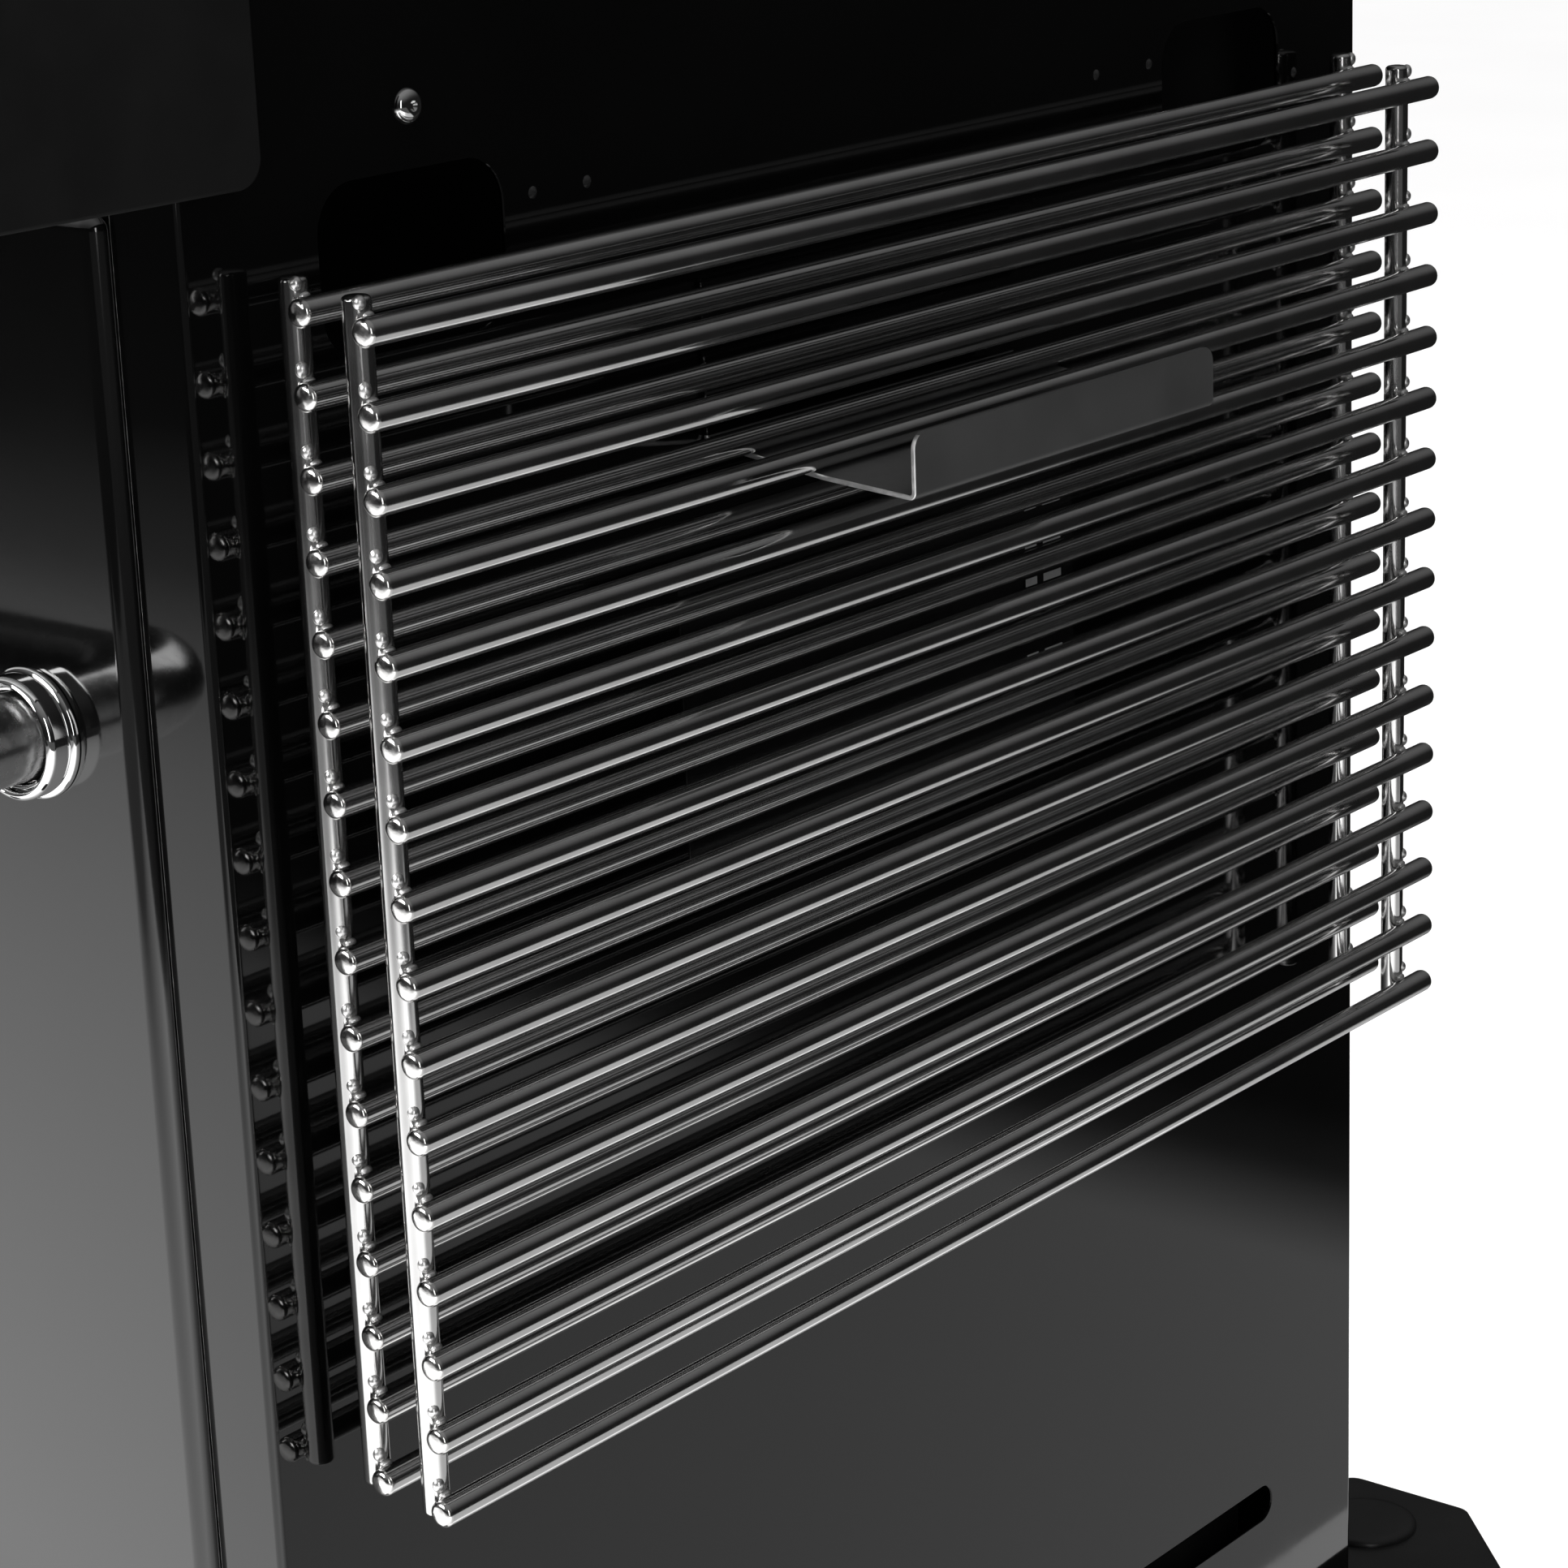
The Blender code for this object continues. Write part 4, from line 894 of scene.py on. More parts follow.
def make_fascia():
    """The brushed console cover, with its stem holes."""
    low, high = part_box("console_fascia")
    front = leaning_corner(low, high, 16 * MM)
    line = [(high.y, low.z), (front, low.z), (front + CONSOLE_LEAN, high.z), (high.y, high.z)]
    path = open_rounded([Vector(point) for point in line], [0.0, 16 * MM, 34 * MM, 0.0], 14)
    bm = strip_of(path, -SHEET, low.x, high.x, looking_x(0, 0, 0))
    obj = new_object("console_cover", bm, FINISH["fascia"])
    holes = (("burner_knob_right", 6.5), ("burner_knob_left", 6.5), ("igniter_button", 10.5))
    carve(obj, *[round_hole(r * MM, 20 * MM, facing(middle_of(node), (0, 1, 0))) for node, r in holes])
    stand_for(obj, "cabinet", "console_fascia")


def middle_of(node):
    low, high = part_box(node)
    return (low + high) / 2


def leaning_corner(low, high, radius):
    """Where the console's sloping front meets its underside, before that corner is rounded."""
    lean = math.atan(CONSOLE_LEAN / (high.z - low.z))
    return low.y - radius * ((1 + math.sin(lean)) / math.cos(lean) - 1)


def make_cheek(node):
    low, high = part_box(node)
    front = leaning_corner(low, high, 20 * MM)
    corners = [(front, low.z), (high.y, low.z), (high.y, high.z), (front + CONSOLE_LEAN, high.z)]
    outline = round_corners(corners, [20 * MM, 8 * MM, 8 * MM, 38 * MM], 12)
    bm = bmesh.new()
    slab(bm, outline, low.x, high.x, looking_x(0, 0, 0), 1.3 * MM)
    stand_for(new_object(node + "_casting", bm, FINISH["cheek"]), "cabinet", node)


# Controls


def fluted(co):
    """How far a knob's surface is drawn in at a point by its twenty flutes."""
    radius = math.hypot(co.x, co.y)
    above_skirt = min(1.0, max(0.0, (co.z - 6.0 * MM) / (3 * MM)))
    outside = min(1.0, max(0.0, (radius - 16.0 * MM) / (2 * MM)))
    wave = 0.5 - 0.5 * math.cos(20 * math.atan2(co.y, co.x))
    return 1.0 - above_skirt * outside * 0.045 * wave**2


def make_knob(node, body):
    """A fluted knob with a skirt and a white pointer."""
    low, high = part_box(node)
    middle = (low + high) / 2
    tall = (high.y - low.y) / MM
    place = looking_front(middle.x, high.y, middle.z)
    skirt = [(0, 19), (5.2, 19), (5.2, 0), (25.8, 0), (26.5, 0.8), (26.4, 2.6), (25.4, 4.2)]
    skirt += [(23, 5.4), (21.4, 6.4)]
    grip = [(20.6, 8.2), (19.6, 16), (18.6, 23.2), (18, 24.8), (16.8, 25.6), (14.5, tall), (0, tall - 0.7)]
    bm = bmesh.new()
    lathe(bm, mm(*skirt, *grip), Matrix(), 120)
    for vert in bm.verts:
        shrink = fluted(vert.co)
        vert.co.x *= shrink
        vert.co.y *= shrink
    bm.transform(place)
    stand_for(new_object(node + "_fluted", bm, FINISH["plastic"], 60.0), body, node)
    mark = bmesh.new()
    outline = round_corners(oblong(-0.9 * MM, 0.9 * MM, 5 * MM, 15 * MM), 0.8 * MM, 4)
    slab(mark, outline, (tall - 0.9) * MM, (tall + 0.15) * MM, place, 0.1 * MM)
    attach(new_object(node + "_pointer", mark, FINISH["white"]), body)


def make_dial_marks():
    """Plain dashes on the console round each knob, which grow with the gas setting."""
    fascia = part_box("console_fascia")[0].y
    for side in ("right", "left"):
        middle = middle_of(f"burner_knob_{side}")
        place = looking_front(middle.x, fascia, middle.z)
        bm = bmesh.new()
        for step in range(13):
            turn = place @ Matrix.Rotation(math.radians(90 + 15 * step), 4, "Z")
            outline = oblong(29 * MM, (30.6 + 0.22 * step) * MM, -0.5 * MM, 0.5 * MM)
            slab(bm, outline, -0.02 * MM, 0.10 * MM, turn)
        attach(new_object(f"setting_marks_{side}", bm, FINISH["ink"]), "cabinet")


def make_igniter():
    """The igniter's button, with a hollow for the fingertip."""
    low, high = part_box("igniter_button")
    middle = (low + high) / 2
    tall = (high.y - low.y) / MM
    profile = [(0, 0), (9.6, 0), (10, 0.5)]
    edge = ((10, 1.6), (9.6, 0.7), (8.8, 0.15), (8, 0), (7.2, 0.25), (6, 0.9), (0, 1.3))
    profile += [(out, tall - down) for out, down in edge]
    bm = bmesh.new()
    lathe(bm, mm(*profile), looking_front(middle.x, high.y, middle.z), 56)
    cap = new_object("igniter_cap", bm, FINISH["plastic"], 50.0)
    stand_for(cap, "igniter", "igniter_button")


# Thermometer


def make_thermometer():
    """The thermometer's case and probe, its dial and its needle, built outwards from the door's face."""
    low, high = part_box("thermometer_case")
    middle = (low + high) / 2
    rim = (high.x - middle.x) / MM
    back = low.y + 13 * MM
    place = looking_front(middle.x, back, middle.z)
    tip = (back - high.y) / MM
    well = ((-5.4, 4), (-5, 4.3), (-4.2, 9.5), (-3.9, 12.2), (-3.4, 12.9), (-2.6, 13))
    outside = ((-1.5, 12.6), (-0.5, 11.4), (0, 9.8), (0, 3.4), (-0.8, 3), (-0.8, 2.2), (0, 1.8), (0, 0))
    profile = [(0, 4)] + [(rim + out, up) for out, up in well + outside]
    profile += [(6, 0), (6, -36), (5.2, -39), (3.5, -41), (3.5, tip + 2.4), (2.4, tip + 0.6), (0, tip)]
    bm = bmesh.new()
    lathe(bm, mm(*profile), place, 96)
    bezel = new_object("thermometer_bezel", bm, FINISH["chrome"])
    stand_for(bezel, "chamber_door", "thermometer_case")
    reach = rim - 5.6
    face = bmesh.new()
    lathe(face, mm((0, 4.55), (reach - 0.3, 4.55), (reach, 4.3), (reach, 4), (0, 4)), place, 72)
    attach(new_object("dial_face", face, FINISH["white"]), "chamber_door")
    make_dial_scale(place, reach)
    needle_low, needle_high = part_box("thermometer_needle")
    top = (needle_high.z - middle.z) / MM
    tail = (needle_low.z - middle.z) / MM
    outline = mm((-0.25, top), (-1.2, 0), (-1, tail), (1, tail), (1.2, 0), (0.25, top))
    pointer = bmesh.new()
    slab(pointer, [Vector(p) for p in outline], 6.2 * MM, 7.2 * MM, place, 0.15 * MM)
    lathe(pointer, mm((0, 9), (2.2, 8.8), (3.2, 7.9), (3.5, 6.6), (3.5, 4.9), (0, 4.9)), place, 32)
    needle = new_object("needle_pointer", pointer, FINISH["red"])
    stand_for(needle, "needle", "thermometer_needle")


def make_dial_scale(place, reach):
    """Ticks, a band for the smoking range and plain numbers, on a dial of radius reach in millimetres."""
    ticks = bmesh.new()
    for step in range(41):
        long, wide = (5.2, 0.45) if step % 5 == 0 else (3.6, 0.22)
        outline = oblong((reach - long) * MM, (reach - 1.4) * MM, -wide * MM, wide * MM)
        turn = Matrix.Rotation(math.radians(225 - 6.75 * step), 4, "Z")
        slab(ticks, outline, 4.5 * MM, 4.68 * MM, place @ turn)
    attach(new_object("dial_ticks", ticks, FINISH["ink"]), "chamber_door")
    band = bmesh.new()
    sweep = [math.radians(150 - 60 * k / 16) for k in range(17)]
    arc = []
    for radius, order in (((reach - 7.4) * MM, 1), ((reach - 6) * MM, -1)):
        arc += [(radius * math.cos(a), radius * math.sin(a)) for a in sweep[::order]]
    rings = [[band.verts.new(place @ Vector((x, y, z))) for x, y in arc] for z in (4.5 * MM, 4.66 * MM)]
    bridge(band, *rings)
    for ring in rings:
        close_strip(band, ring)
    attach(new_object("smoking_range_band", band, FINISH["red"]), "chamber_door")
    for step, label in enumerate(("0", "50", "100", "150", "200")):
        angle = math.radians(225 - 67.5 * step)
        spot = Vector((math.cos(angle), math.sin(angle), 0)) * (reach - 10.2) * MM
        add_number(label, place @ Matrix.Translation(spot))


def add_number(label, place):
    """A plain number on the dial."""
    curve = bpy.data.curves.new("number_" + label, "FONT")
    curve.body = label
    curve.size = 5.0 * MM
    curve.align_x = "CENTER"
    curve.align_y = "CENTER"
    curve.extrude = 0.07 * MM
    text = bpy.data.objects.new("number_" + label, curve)
    bpy.context.scene.collection.objects.link(text)
    bpy.context.view_layer.update()
    mesh = bpy.data.meshes.new_from_object(text.evaluated_get(bpy.context.evaluated_depsgraph_get()))
    bpy.data.objects.remove(text, do_unlink=True)
    bm = bmesh.new()
    bm.from_mesh(mesh)
    bmesh.ops.remove_doubles(bm, verts=bm.verts, dist=1e-6)
    bm.transform(place @ Matrix.Translation((0, 0, 4.60 * MM)))
    attach(new_object("dial_number_" + label, bm, FINISH["ink"]), "chamber_door")


# Roof, chimney and damper


def make_chimney():
    """The chimney pipe, with a screwed flange, a rolled rim and holes for the damper's shaft."""
    low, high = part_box("chimney")
    middle = (low + high) / 2
    wide = (high.x - middle.x) / MM
    tall = (high.z - low.z) / MM
    flange = (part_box("roof_panel")[1].z - low.z) / MM + 0.3
    collar = ((-0.8, 0), (0, 0.5), (0, 1.4), (-0.7, 2))
    rim = ((40, 5.6), (40.6, 5), (41.6, 4.4), (42, 2.8), (41.8, 1), (41, 0.2), (40, 0), (38.8, 0.2), (38, 1))
    profile = [(38, 0), (40, 0), (40, flange)] + [(wide + out, flange + up) for out, up in collar]
    profile += [(42.5, flange + 2), (40.6, flange + 2.6), (40, flange + 4.4)]
    profile += [(out, tall - down) for out, down in rim]
    bm = bmesh.new()
    lathe(bm, mm(*profile), Matrix.Translation((middle.x, middle.y, low.z)), 96, closed=True)
    pipe = new_object("chimney_pipe", bm, FINISH["satin"])
    shaft = middle_of("damper_plate")
    carve(pipe, round_hole(3.4 * MM, 60 * MM, facing((middle.x, middle.y, shaft.z), (1, 0, 0)), 28))
    stand_for(pipe, "cabinet", "chimney")
    screws = bmesh.new()
    base = Vector((middle.x, middle.y, low.z + (flange + 2) * MM))
    for k in range(4):
        angle = math.radians(45 + 90 * k)
        spot = base + Vector((math.cos(angle), math.sin(angle), 0)) * 51 * MM
        pan_screw(screws, facing(spot, (0, 0, 1)), 3.4 * MM, 1.9 * MM)
    attach(new_object("chimney_screws", screws, FINISH["screw"]), "cabinet")


def make_damper():
    """The butterfly plate on its shaft, with a tapering lever outside the pipe."""
    low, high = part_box("damper_plate")
    chimney = middle_of("chimney")
    z = middle_of("damper_plate").z
    bm = bmesh.new()
    profile = mm((0, 0.8), (36.3, 0.8), (36.8, 0.3), (36.8, -0.3), (36.3, -0.8), (0, -0.8))
    lathe(bm, profile, Matrix.Translation((chimney.x, chimney.y, z)), 72)
    eased_rod(bm, (low.x, chimney.y, z), (high.x, chimney.y, z), 3.0 * MM, 24)
    corners = mm((0, -4), (-44, -2.6), (-44, 2.6), (0, 4))
    outline = round_corners(corners, [3.8 * MM, 2.5 * MM, 2.5 * MM, 3.8 * MM], 8)
    lever = looking_x(high.x - 4.5 * MM, chimney.y + 6.0 * MM, z)
    slab(bm, outline, 0.0, 3.0 * MM, lever, 0.5 * MM)
    butterfly = new_object("butterfly_and_lever", bm, FINISH["steel_z"])
    stand_for(butterfly, "damper", "damper_plate")


# Inside the chamber


def make_pressed_pan(node, body, finish, rim, slope, thickness, corner):
    """A pressed rectangular pan with rounded corners, sloping walls and a turned rim."""
    low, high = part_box(node)
    middle = (low + high) / 2
    half = (high - low) / 2
    fall = high.z - low.z - thickness
    turned = mm((0, -2.2), (0, -0.8), (0.6, -0.1))
    turned += [(rim - inset, -drop) for inset, drop in mm((2.6, 0), (1, 0.6), (0, 2.4))]
    foot = rim + slope
    wall = [(rim + slope * 0.5, -fall * 0.5)]
    wall += [(foot + out, up - fall) for out, up in mm((-0.8, 5), (0.6, 2.2), (3.2, 0.5), (7, 0))]
    bm = bmesh.new()
    rings = []
    for inset, drop in turned + wall:
        x, y = half.x - inset, half.y - inset
        turn = max(corner - inset * 0.5, 4 * MM)
        outline = round_corners(oblong(-x, x, -y, y), turn, 10)
        rings.append([bm.verts.new((middle.x + p.x, middle.y + p.y, high.z + drop)) for p in outline])
    bridge_all(bm, rings)
    bm.faces.new(rings[-1])
    obj = new_object(node + "_pressing", bm, finish, 60.0)
    up = sum(p.normal.z * p.area for p in obj.data.polygons)
    sheet = obj.modifiers.new("sheet", "SOLIDIFY")
    sheet.thickness = thickness
    sheet.offset = -1.0 if up > 0 else 1.0
    bake_modifiers(obj)
    stand_for(obj, body, node)


def make_rope_seal():
    """A round woven rope laid in a rounded rectangle, flattened where the door presses it."""
    low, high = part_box("door_gasket")
    wide = 11.5 * MM
    thick = high.y - low.y
    centre = (low + high) / 2
    half_x = (high.x - low.x) / 2 - wide / 2
    half_z = (high.z - low.z) / 2 - wide / 2
    path = round_corners(oblong(-half_x, half_x, -half_z, half_z), 6.25 * MM, 10)
    fine = []
    for i, point in enumerate(path):
        after = path[(i + 1) % len(path)]
        count = max(1, int((after - point).length / (6 * MM)))
        fine += [point.lerp(after, k / count) for k in range(count)]
    bm = bmesh.new()
    rings = []
    for i, point in enumerate(fine):
        run = (fine[(i + 1) % len(fine)] - fine[i - 1]).normalized()
        normal = Vector((-run.y, run.x))
        ring = []
        for k in range(14):
            angle = 2 * math.pi * k / 14
            out = point + normal * (wide / 2 - 0.2 * MM) * math.cos(angle)
            squash = math.copysign(abs(math.sin(angle)) ** 0.7, math.sin(angle))
            ring.append(bm.verts.new((centre.x + out.x, centre.y + thick / 2 * squash, centre.z + out.y)))
        rings.append(ring)
    bridge_all(bm, rings + rings[:1])
    stand_for(new_object("rope_seal", bm, FINISH["rope"]), "cabinet", "door_gasket")


# Wheels


def make_fork(corner):
    """The caster's pressed fork: ball race, two curved cheeks and the axle with its nuts."""
    node = f"caster_fork_{corner}"
    low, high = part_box(node)
    wheel_low, wheel_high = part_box(f"caster_wheel_{corner}")
    axle = (wheel_low + wheel_high) / 2
    swivel = Vector((axle.x, axle.y - 20 * MM, 0.0))
    under = high.z - 11 * MM
    bm = bmesh.new()
    stem = [(0, 11), (5.2, 11), (6, 10.2), (6, 0)]
    race = [(19, 0), (24.6, -0.4), (26, -1.6), (25.6, -2.6), (24, -3), (24.6, -3.6), (24.2, -4.8)]
    race += [(22, -5.2), (0, -5.2)]
    lathe(bm, mm(*stem, *race), Matrix.Translation((swivel.x, swivel.y, under)), 56)
    yoke = (wheel_high.x - wheel_low.x) / 2 + 1.5 * MM
    for side in (-1, 1):
        start = axle.x + side * yoke if side > 0 else axle.x - yoke - 2.5 * MM
        corners = [
            (swivel.y - 18 * MM, under - 4.6 * MM),
            (axle.y - 10.5 * MM, axle.z - 6 * MM),
            (axle.y + 10.5 * MM, axle.z - 6 * MM),
            (swivel.y + 22 * MM, under - 4.6 * MM),
        ]
        outline = round_corners(corners, [2 * MM, 8.5 * MM, 8.5 * MM, 2 * MM], 10)
        slab(bm, outline, 0.0, 2.5 * MM, looking_x(start, 0, 0), 0.5 * MM)
        out = Vector((side, 0, 0))
        nut = mm((0, 3.6), (3.4, 3.3), (5.4, 2), (6, 0.6), (6, -0.2), (0, -0.2))
        lathe(bm, nut, facing(axle + out * (yoke + 2.5 * MM), out), 24)
    eased_rod(bm, (axle.x - yoke, axle.y, axle.z), (axle.x + yoke, axle.y, axle.z), 4.0 * MM, 24)
    fork = new_object(f"fork_{corner}", bm, FINISH["zinc"])
    stand_for(fork, f"{corner}_fork", node)


def make_wheel(corner):
    """A rubber tread on a ribbed hub with a raised bearing cap."""
    node = f"caster_wheel_{corner}"
    low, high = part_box(node)
    axle = (low + high) / 2
    half = (high.x - low.x) / 2
    radius = (high.z - low.z) / 2
    hub = ((4.4, 0), (9.6, 0), (10.4, 0.7), (10.8, 4), (23, 4.6), (27.4, 3.6), (28.2, 2.2))
    tread = mm((3.6, 2.4), (1.6, 3.6), (0.4, 5.8), (0, 8))
    side = [(r, half - inset) for r, inset in mm(*hub, (29.2, 2), (29.8, 2.8), (30.4, 2))]
    side += [(radius - down, half - inset) for down, inset in tread]
    profile = side + [(r, -h) for r, h in reversed(side)]
    bm = bmesh.new()
    place = facing(axle, (1, 0, 0))
    lathe(bm, profile, place, 96, closed=True)
    ribs = 6
    for k in range(ribs):
        for face in (-1, 1):
            turn = place @ Matrix.Rotation(2 * math.pi * k / ribs, 4, "Z")
            outline = [Vector(p) for p in mm((10.6, -1.2), (27.6, -0.9), (27.6, 0.9), (10.6, 1.2))]
            bottom, top = sorted((face * (half - 5.5 * MM), face * (half - 3.0 * MM)))
            slab(bm, outline, bottom, top, turn, 0.25 * MM)
    wheel = new_object(f"wheel_{corner}", bm, FINISH["rubber"])
    wheel.data.materials.append(FINISH["hub"])
    for polygon in wheel.data.polygons:
        away = polygon.center - axle
        if math.hypot(away.y, away.z) < 28.8 * MM:
            polygon.material_index = 1
    stand_for(wheel, f"{corner}_wheel", node)


# The whole


def make_finishes():
    return {
        "gloss": gloss_enamel(),
        "front": front_enamel(),
        "satin": satin_paint("satin_paint", 0.014, 0.022),
        "cheek": satin_paint("cheek_paint", 0.0030, 0.0048, (0.55, 0.68), 700.0, 0.00005, 0.14),
        "bracket": satin_paint("bracket_paint", 0.026, 0.034, (0.34, 0.46), 600.0, 0.00002),
        "rod": polished_rod(),
        "weld": weld_metal(),
        "bead": weld_bead(),
        "handle": satin_tube(),
        "steel": brushed_steel("sheet_steel", "x", 0.50),
        "chrome": chrome(),
        "sheet": galvanised(),
        "porcelain": porcelain(),
        "iron": cast_iron(),
        "brass": brass(),
        "rope": woven_rope(),
        "rubber": moulded("wheel_rubber", 0.020, (0.55, 0.70), 500.0),
        "plastic": moulded("knob_plastic", 0.020),
        "pod": satin_paint("pod_paint", 0.0055, 0.0080, (0.26, 0.36), 500.0, 0.00002, 0.30),
        "plate": moulded("data_plate", 0.004, (0.10, 0.16)),
        "screw": chrome(),
        "rivet": moulded("painted_rivet", 0.012, (0.15, 0.25)),
        "red": needle_red(),
        "white": printed("dial_white", 0.78),
        "ink": printed("dial_ink", 0.016),
        "dash": printed("faded_print", 0.20),
        "fascia": brushed_steel("console_steel", "x", 0.42, (0.26, 0.36)),
        "steel_z": brushed_steel("lever_steel", "y", 0.48),
        "zinc": galvanised_bright(),
        "edge_highlight": edge_highlight(),
        "hub": moulded("wheel_hub", 0.055, (0.34, 0.46), 700.0),
    }


SLOT_FINISH = {
    "gloss_black_enamel": "gloss",
    "satin_black_paint": "satin",
    "black_plastic": "plastic",
    "matte_grey_paint": "cheek",
    "galvanised_steel": "sheet",
    "polished_stainless": "rod",
    "satin_stainless": "steel",
    "chrome_plate": "chrome",
    "grey_bracket_paint": "bracket",
    "porcelain_enamel": "porcelain",
    "cast_iron": "iron",
    "brass": "brass",
    "seal_rope": "rope",
    "wheel_rubber": "rubber",
    "needle_red": "red",
}


def dress_cad_nodes(frame):
    """Gives every CAD node the finish that its slot calls for."""
    slots = {entry["node"]: entry["material_slot"] for entry in frame["record"]["subparts"]}
    for name, obj in frame["nodes"].items():
        finish = FINISH[SLOT_FINISH[slots[name]]]
        if name in ("drawer_front", "chamber_door_skin"):
            finish = FINISH["front"]
        obj.data.materials.clear()
        obj.data.materials.append(finish)


def make_camera():
    low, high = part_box("side_panel_right")
    az = math.radians(CAMERA_AZIMUTH)
    el = math.radians(CAMERA_ELEVATION)
    roll = math.radians(CAMERA_ROLL)
    forward = Vector((-math.sin(az) * math.cos(el), math.cos(az) * math.cos(el), -math.sin(el)))
    level = forward.cross(Vector((0, 0, 1))).normalized()
    up = level.cross(forward)
    right = level * math.cos(roll) + up * math.sin(roll)
    top = up * math.cos(roll) - level * math.sin(roll)
    place = Vector((high.x + CAMERA_OUT, low.y - CAMERA_AHEAD, low.z + CAMERA_UP))
    data = bpy.data.cameras.new("main_camera")
    data.lens = CAMERA_LENS
    data.sensor_width = 36.0
    data.clip_start = 0.01
    camera = bpy.data.objects.new("main_camera", data)
    bpy.context.scene.collection.objects.link(camera)
    turn = Matrix((right, top, -forward)).transposed().to_4x4()
    camera.matrix_world = Matrix.Translation(place) @ turn
    bpy.context.scene.camera = camera


def card(name, corners, strength, glossy_only=True, gradient=None):
    """A stage card. A glossy-only card shows in reflections and nowhere else."""
    mesh = bpy.data.meshes.new(name)
    mesh.from_pydata([tuple(c) for c in corners], [], [(0, 1, 2, 3)])
    obj = bpy.data.objects.new(name, mesh)
    bpy.context.scene.collection.objects.link(obj)
    material = bpy.data.materials.new(name)
    material.use_nodes = True
    tree = material.node_tree
    tree.nodes.clear()
    output = tree.nodes.new("ShaderNodeOutputMaterial")
    glow = tree.nodes.new("ShaderNodeEmission")
    glow.inputs["Strength"].default_value = strength
    tree.links.new(glow.outputs["Emission"], output.inputs["Surface"])
    if gradient is not None:
        gradient(tree, glow)
    mesh.materials.append(material)
    if glossy_only:
        obj.visible_camera = False
        obj.visible_diffuse = False
        obj.visible_shadow = False
        obj.visible_transmission = False
    return obj


def lay_card(name, left, right, front, back, height, strength, gradient=None):
    corners = [(left, front, height), (right, front, height), (right, back, height), (left, back, height)]
    card(name, corners, strength, gradient=gradient)


def floor_glow(tree, glow):
    """The lit floor as the enamel sees it: brightest ahead of the doors, and unlit well behind."""
    place = tree.nodes.new("ShaderNodeTexCoord")
    split = tree.nodes.new("ShaderNodeSeparateXYZ")
    tree.links.new(place.outputs["Object"], split.inputs["Vector"])
    along = tree.nodes.new("ShaderNodeMapRange")
    along.inputs["From Min"].default_value = GLOW_START
    along.inputs["From Max"].default_value = GLOW_END
    tree.links.new(split.outputs["Y"], along.inputs["Value"])
    ramp = tree.nodes.new("ShaderNodeValToRGB")
    elements = ramp.color_ramp.elements
    while len(elements) < len(GLOW):
        elements.new(0.5)
    for element, (y, level) in zip(elements, GLOW):
        element.position = (y - GLOW_START) / (GLOW_END - GLOW_START)
        element.color = (*[level / GLOW_PEAK] * 3, 1.0)
    tree.links.new(along.outputs["Result"], ramp.inputs["Fac"])
    tree.links.new(ramp.outputs["Color"], glow.inputs["Color"])
    glow.inputs["Strength"].default_value = GLOW_PEAK


def make_stage():
    floor_mesh = bpy.data.meshes.new("studio_floor")
    side = 40.0
    corners = [(-side, -side, 0), (side, -side, 0), (side, side, 0), (-side, side, 0)]
    floor_mesh.from_pydata(corners, [], [(0, 1, 2, 3)])
    floor = bpy.data.objects.new("studio_floor", floor_mesh)
    bpy.context.scene.collection.objects.link(floor)
    look = Look("pale_floor")
    look.color(look.noise(3.0, 3.0), (0.3, grey(0.40)), (0.7, grey(0.43)))
    look.set(Roughness=0.9, Emission_Color=(1.0, 0.995, 0.997, 1.0), Emission_Strength=0.74)
    floor_mesh.materials.append(look.material)
    floor.visible_glossy = False
    reach = 6.0
    lay_card("reflected_floor", -reach, 1.85, -reach, reach, 0.001, 1.0, floor_glow)
    lay_card("reflected_floor_far_right", 1.85, reach, -reach, 0.86, 0.001, 0.09)
    lay_card("reflected_floor_ahead", -0.9, 1.85, -2.9, -2.0, 0.002, 0.26)
    lay_card("reflected_floor_beside", 0.335, 0.45, -0.6, 0.6, 0.002, 1.35)


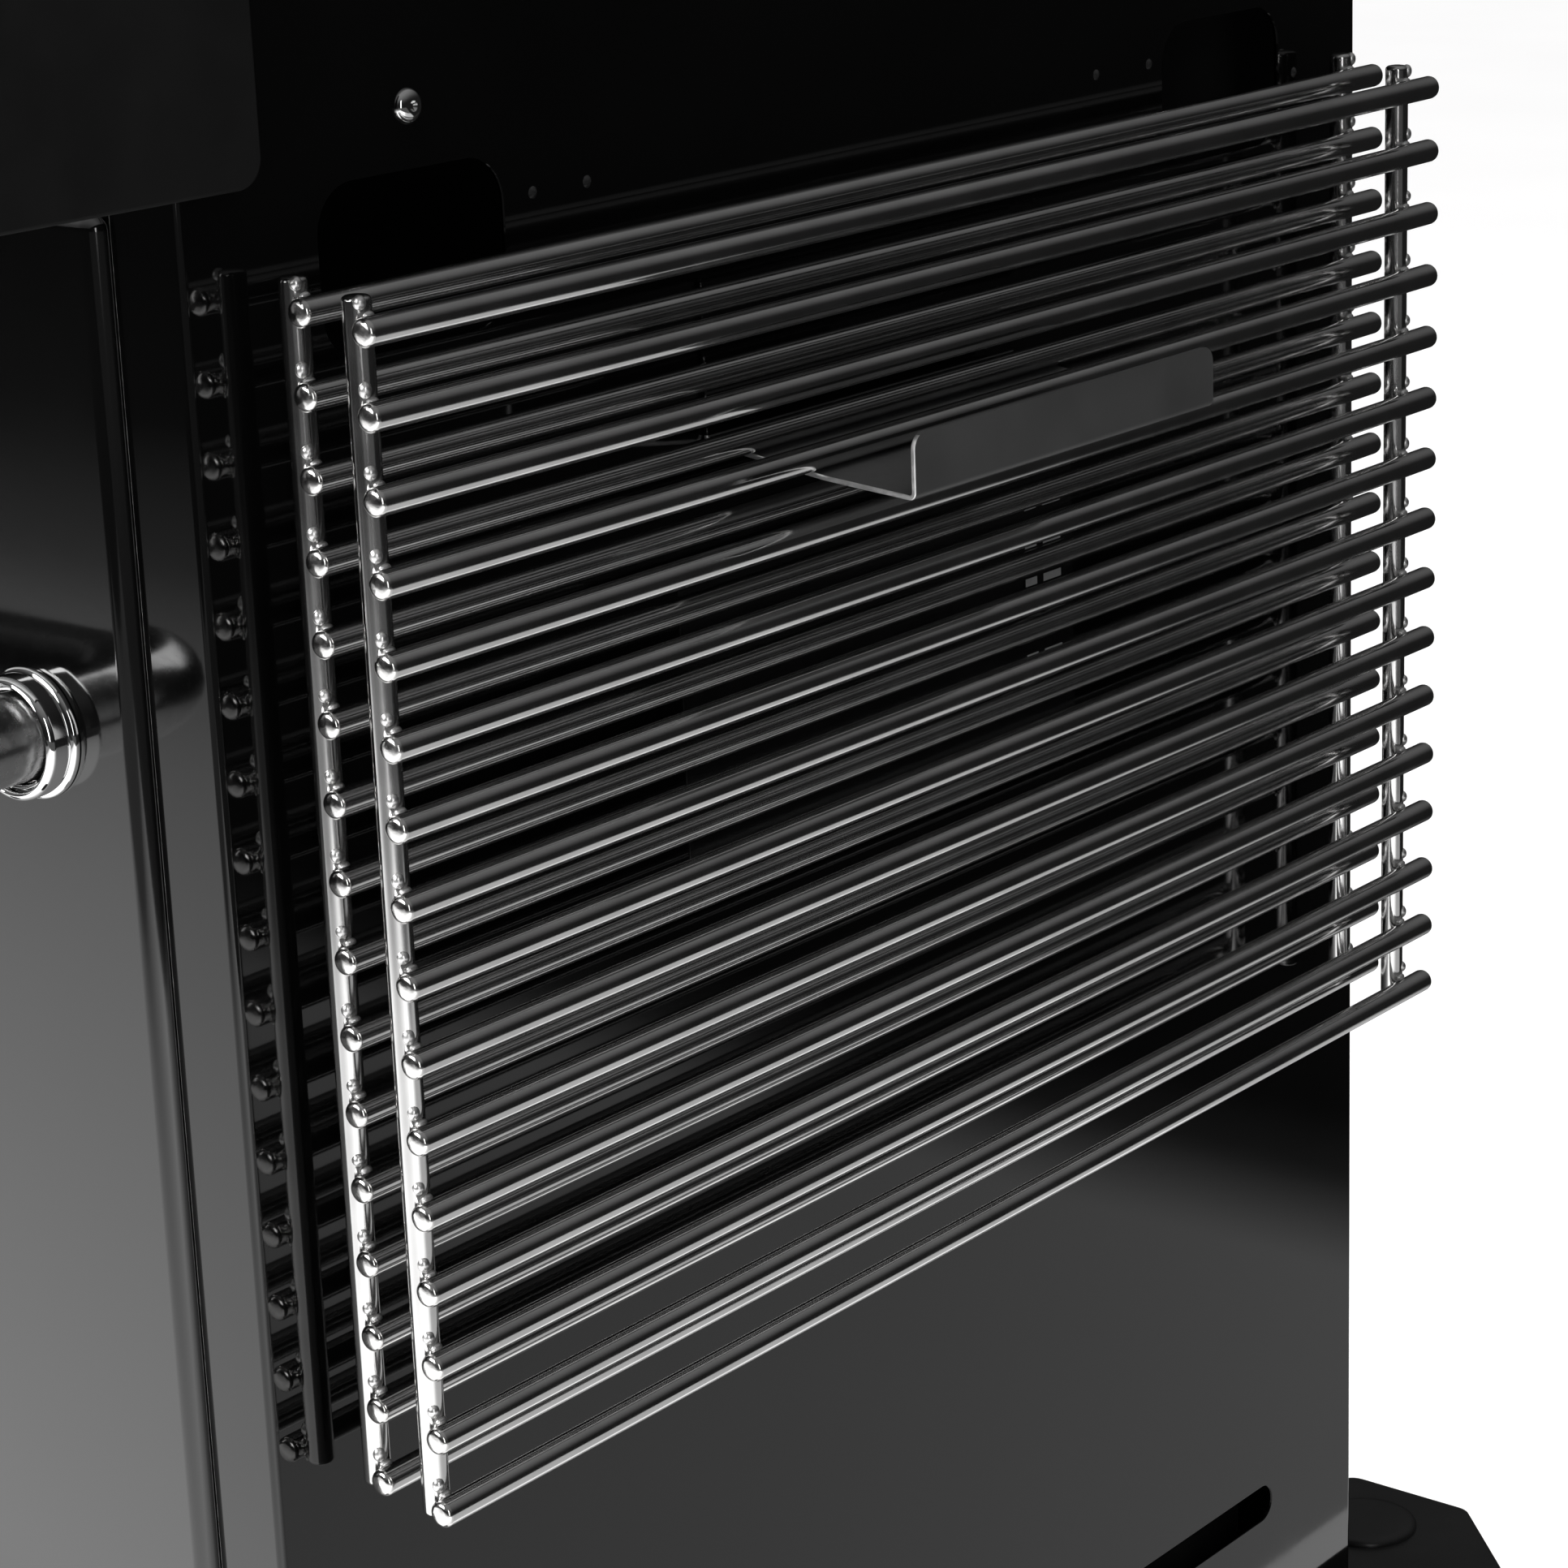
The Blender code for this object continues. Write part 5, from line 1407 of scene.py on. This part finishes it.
def make_world():
    """White to the eye, soft grey as light, and dim to reflections."""
    world = bpy.data.worlds.new("studio")
    bpy.context.scene.world = world
    world.use_nodes = True
    tree = world.node_tree
    tree.nodes.clear()
    output = tree.nodes.new("ShaderNodeOutputWorld")
    path = tree.nodes.new("ShaderNodeLightPath")
    layers = {}
    for name, color, strength in (
        ("seen", (1.0, 0.995, 0.997), 0.975),
        ("lit", (1.0, 1.0, 1.0), 0.55),
        ("mirrored", (1.0, 1.0, 1.0), 1.0),
    ):
        background = tree.nodes.new("ShaderNodeBackground")
        background.inputs["Color"].default_value = (*color, 1.0)
        background.inputs["Strength"].default_value = strength
        layers[name] = background
    place = tree.nodes.new("ShaderNodeTexCoord")
    split = tree.nodes.new("ShaderNodeSeparateXYZ")
    tree.links.new(place.outputs["Generated"], split.inputs["Vector"])
    rise = tree.nodes.new("ShaderNodeMapRange")
    rise.interpolation_type = "SMOOTHSTEP"
    rise.inputs["From Min"].default_value = 0.10
    rise.inputs["From Max"].default_value = 0.95
    rise.inputs["To Min"].default_value = 0.012
    rise.inputs["To Max"].default_value = 0.20
    tree.links.new(split.outputs["Z"], rise.inputs["Value"])
    tree.links.new(rise.outputs["Result"], layers["mirrored"].inputs["Strength"])
    first = tree.nodes.new("ShaderNodeMixShader")
    tree.links.new(path.outputs["Is Glossy Ray"], first.inputs["Fac"])
    tree.links.new(layers["lit"].outputs["Background"], first.inputs[1])
    tree.links.new(layers["mirrored"].outputs["Background"], first.inputs[2])
    second = tree.nodes.new("ShaderNodeMixShader")
    tree.links.new(path.outputs["Is Camera Ray"], second.inputs["Fac"])
    tree.links.new(first.outputs["Shader"], second.inputs[1])
    tree.links.new(layers["seen"].outputs["Background"], second.inputs[2])
    tree.links.new(second.outputs["Shader"], output.inputs["Surface"])


def area_light(name, place, target, size, power):
    data = bpy.data.lights.new(name, "AREA")
    data.shape = "RECTANGLE"
    data.size, data.size_y = size
    data.energy = power
    light = bpy.data.objects.new(name, data)
    bpy.context.scene.collection.objects.link(light)
    place = Vector(place)
    turn = (Vector(target) - place).to_track_quat("-Z", "Y").to_matrix().to_4x4()
    light.matrix_world = Matrix.Translation(place) @ turn
    return light


def make_lights():
    target = (0.0, 0.0, 0.6)
    area_light("front_softbox", (-0.6, -2.4, 1.9), target, (1.6, 1.2), 60.0)
    top = area_light("top_softbox", (0.3, 0.2, 2.8), target, (2.0, 2.0), 55.0)
    top.visible_glossy = False
    area_light("side_strip", (2.2, -1.6, 1.2), target, (0.3, 1.6), 8.0)


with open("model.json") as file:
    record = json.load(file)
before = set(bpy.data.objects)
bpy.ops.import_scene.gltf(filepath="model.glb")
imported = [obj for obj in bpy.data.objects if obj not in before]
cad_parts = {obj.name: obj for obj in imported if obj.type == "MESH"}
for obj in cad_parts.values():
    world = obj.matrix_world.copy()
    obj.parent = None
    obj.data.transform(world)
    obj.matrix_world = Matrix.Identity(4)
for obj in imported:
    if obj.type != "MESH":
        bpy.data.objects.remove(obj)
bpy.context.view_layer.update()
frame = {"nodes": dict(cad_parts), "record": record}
NODES = frame["nodes"]
FINISH = make_finishes()

make_camera()
make_world()
make_lights()
make_stage()
dress_cad_nodes(frame)
for title, node, body, hung in (
    ("outer_stored_grate", "hung_grate_outer", "outer_hung_grate", True),
    ("inner_stored_grate", "hung_grate_inner", "inner_hung_grate", True),
    ("lower_grate_rods", "cooking_grate_lower", "lower_grate", False),
    ("upper_grate_rods", "cooking_grate_upper", "upper_grate", False),
):
    make_grate(title, node, body, hung)
make_hook()
make_handle("drawer_bar", "drawer_handle", "drawer", False)
make_handle("chamber_bar", "chamber_door_handle", "chamber_door", True)
for node, body in (
    ("drawer_collar_right", "drawer"),
    ("drawer_collar_left", "drawer"),
    ("chamber_collar_lower", "chamber_door"),
    ("chamber_collar_upper", "chamber_door"),
):
    make_collar(node, body)
make_side_details()
make_data_plate()
make_side_panel("side_panel_right", 1)
make_side_panel("side_panel_left", -1)
drawer_sheet = open_shell("drawer_front", DRAWER_ROUND, DRAWER_ROLL)
stand_for(drawer_sheet, "drawer", "drawer_front")
probe_hole = round_hole(7 * MM, 60 * MM, facing(middle_of("thermometer_case"), (0, 1, 0)))
door_sheet = open_shell("chamber_door_skin", DOOR_ROUND, cutters=[probe_hole])
stand_for(door_sheet, "chamber_door", "chamber_door_skin")
make_fascia()
make_cheek("console_cheek_right")
make_cheek("console_cheek_left")
make_knob("burner_knob_right", "right_knob")
make_knob("burner_knob_left", "left_knob")
make_dial_marks()
make_igniter()
make_thermometer()
make_chimney()
make_damper()
make_rope_seal()
for node, body, finish, slot, rim, slope, thickness, corner in (
    ("water_pan", "pan", "porcelain", "porcelain_enamel", 20 * MM, 20 * MM, 1.4 * MM, 26 * MM),
    ("chip_tray", "wood_tray", "iron", "cast_iron", 10 * MM, 6 * MM, 3.0 * MM, 16 * MM),
    ("grease_tray", "drip_tray", "sheet", "galvanised_steel", 14 * MM, 6 * MM, 1.4 * MM, 12 * MM),
):
    make_pressed_pan(node, body, FINISH[finish], rim, slope, thickness, corner)
for corner in ("front_right", "front_left", "rear_right", "rear_left"):
    make_caster(corner)
    make_fork(corner)
    make_wheel(corner)
for place in ("upper", "lower"):
    refine(f"cabinet_leaf_{place}", "cabinet", FINISH["satin"], 0.3 * MM)
    refine(f"door_leaf_{place}", "chamber_door", FINISH["satin"], 0.3 * MM)
    refine(f"hinge_pin_{place}", "cabinet", FINISH["steel"], 0.3 * MM)
settle_normals()
bpy.context.scene.view_settings.view_transform = "Standard"
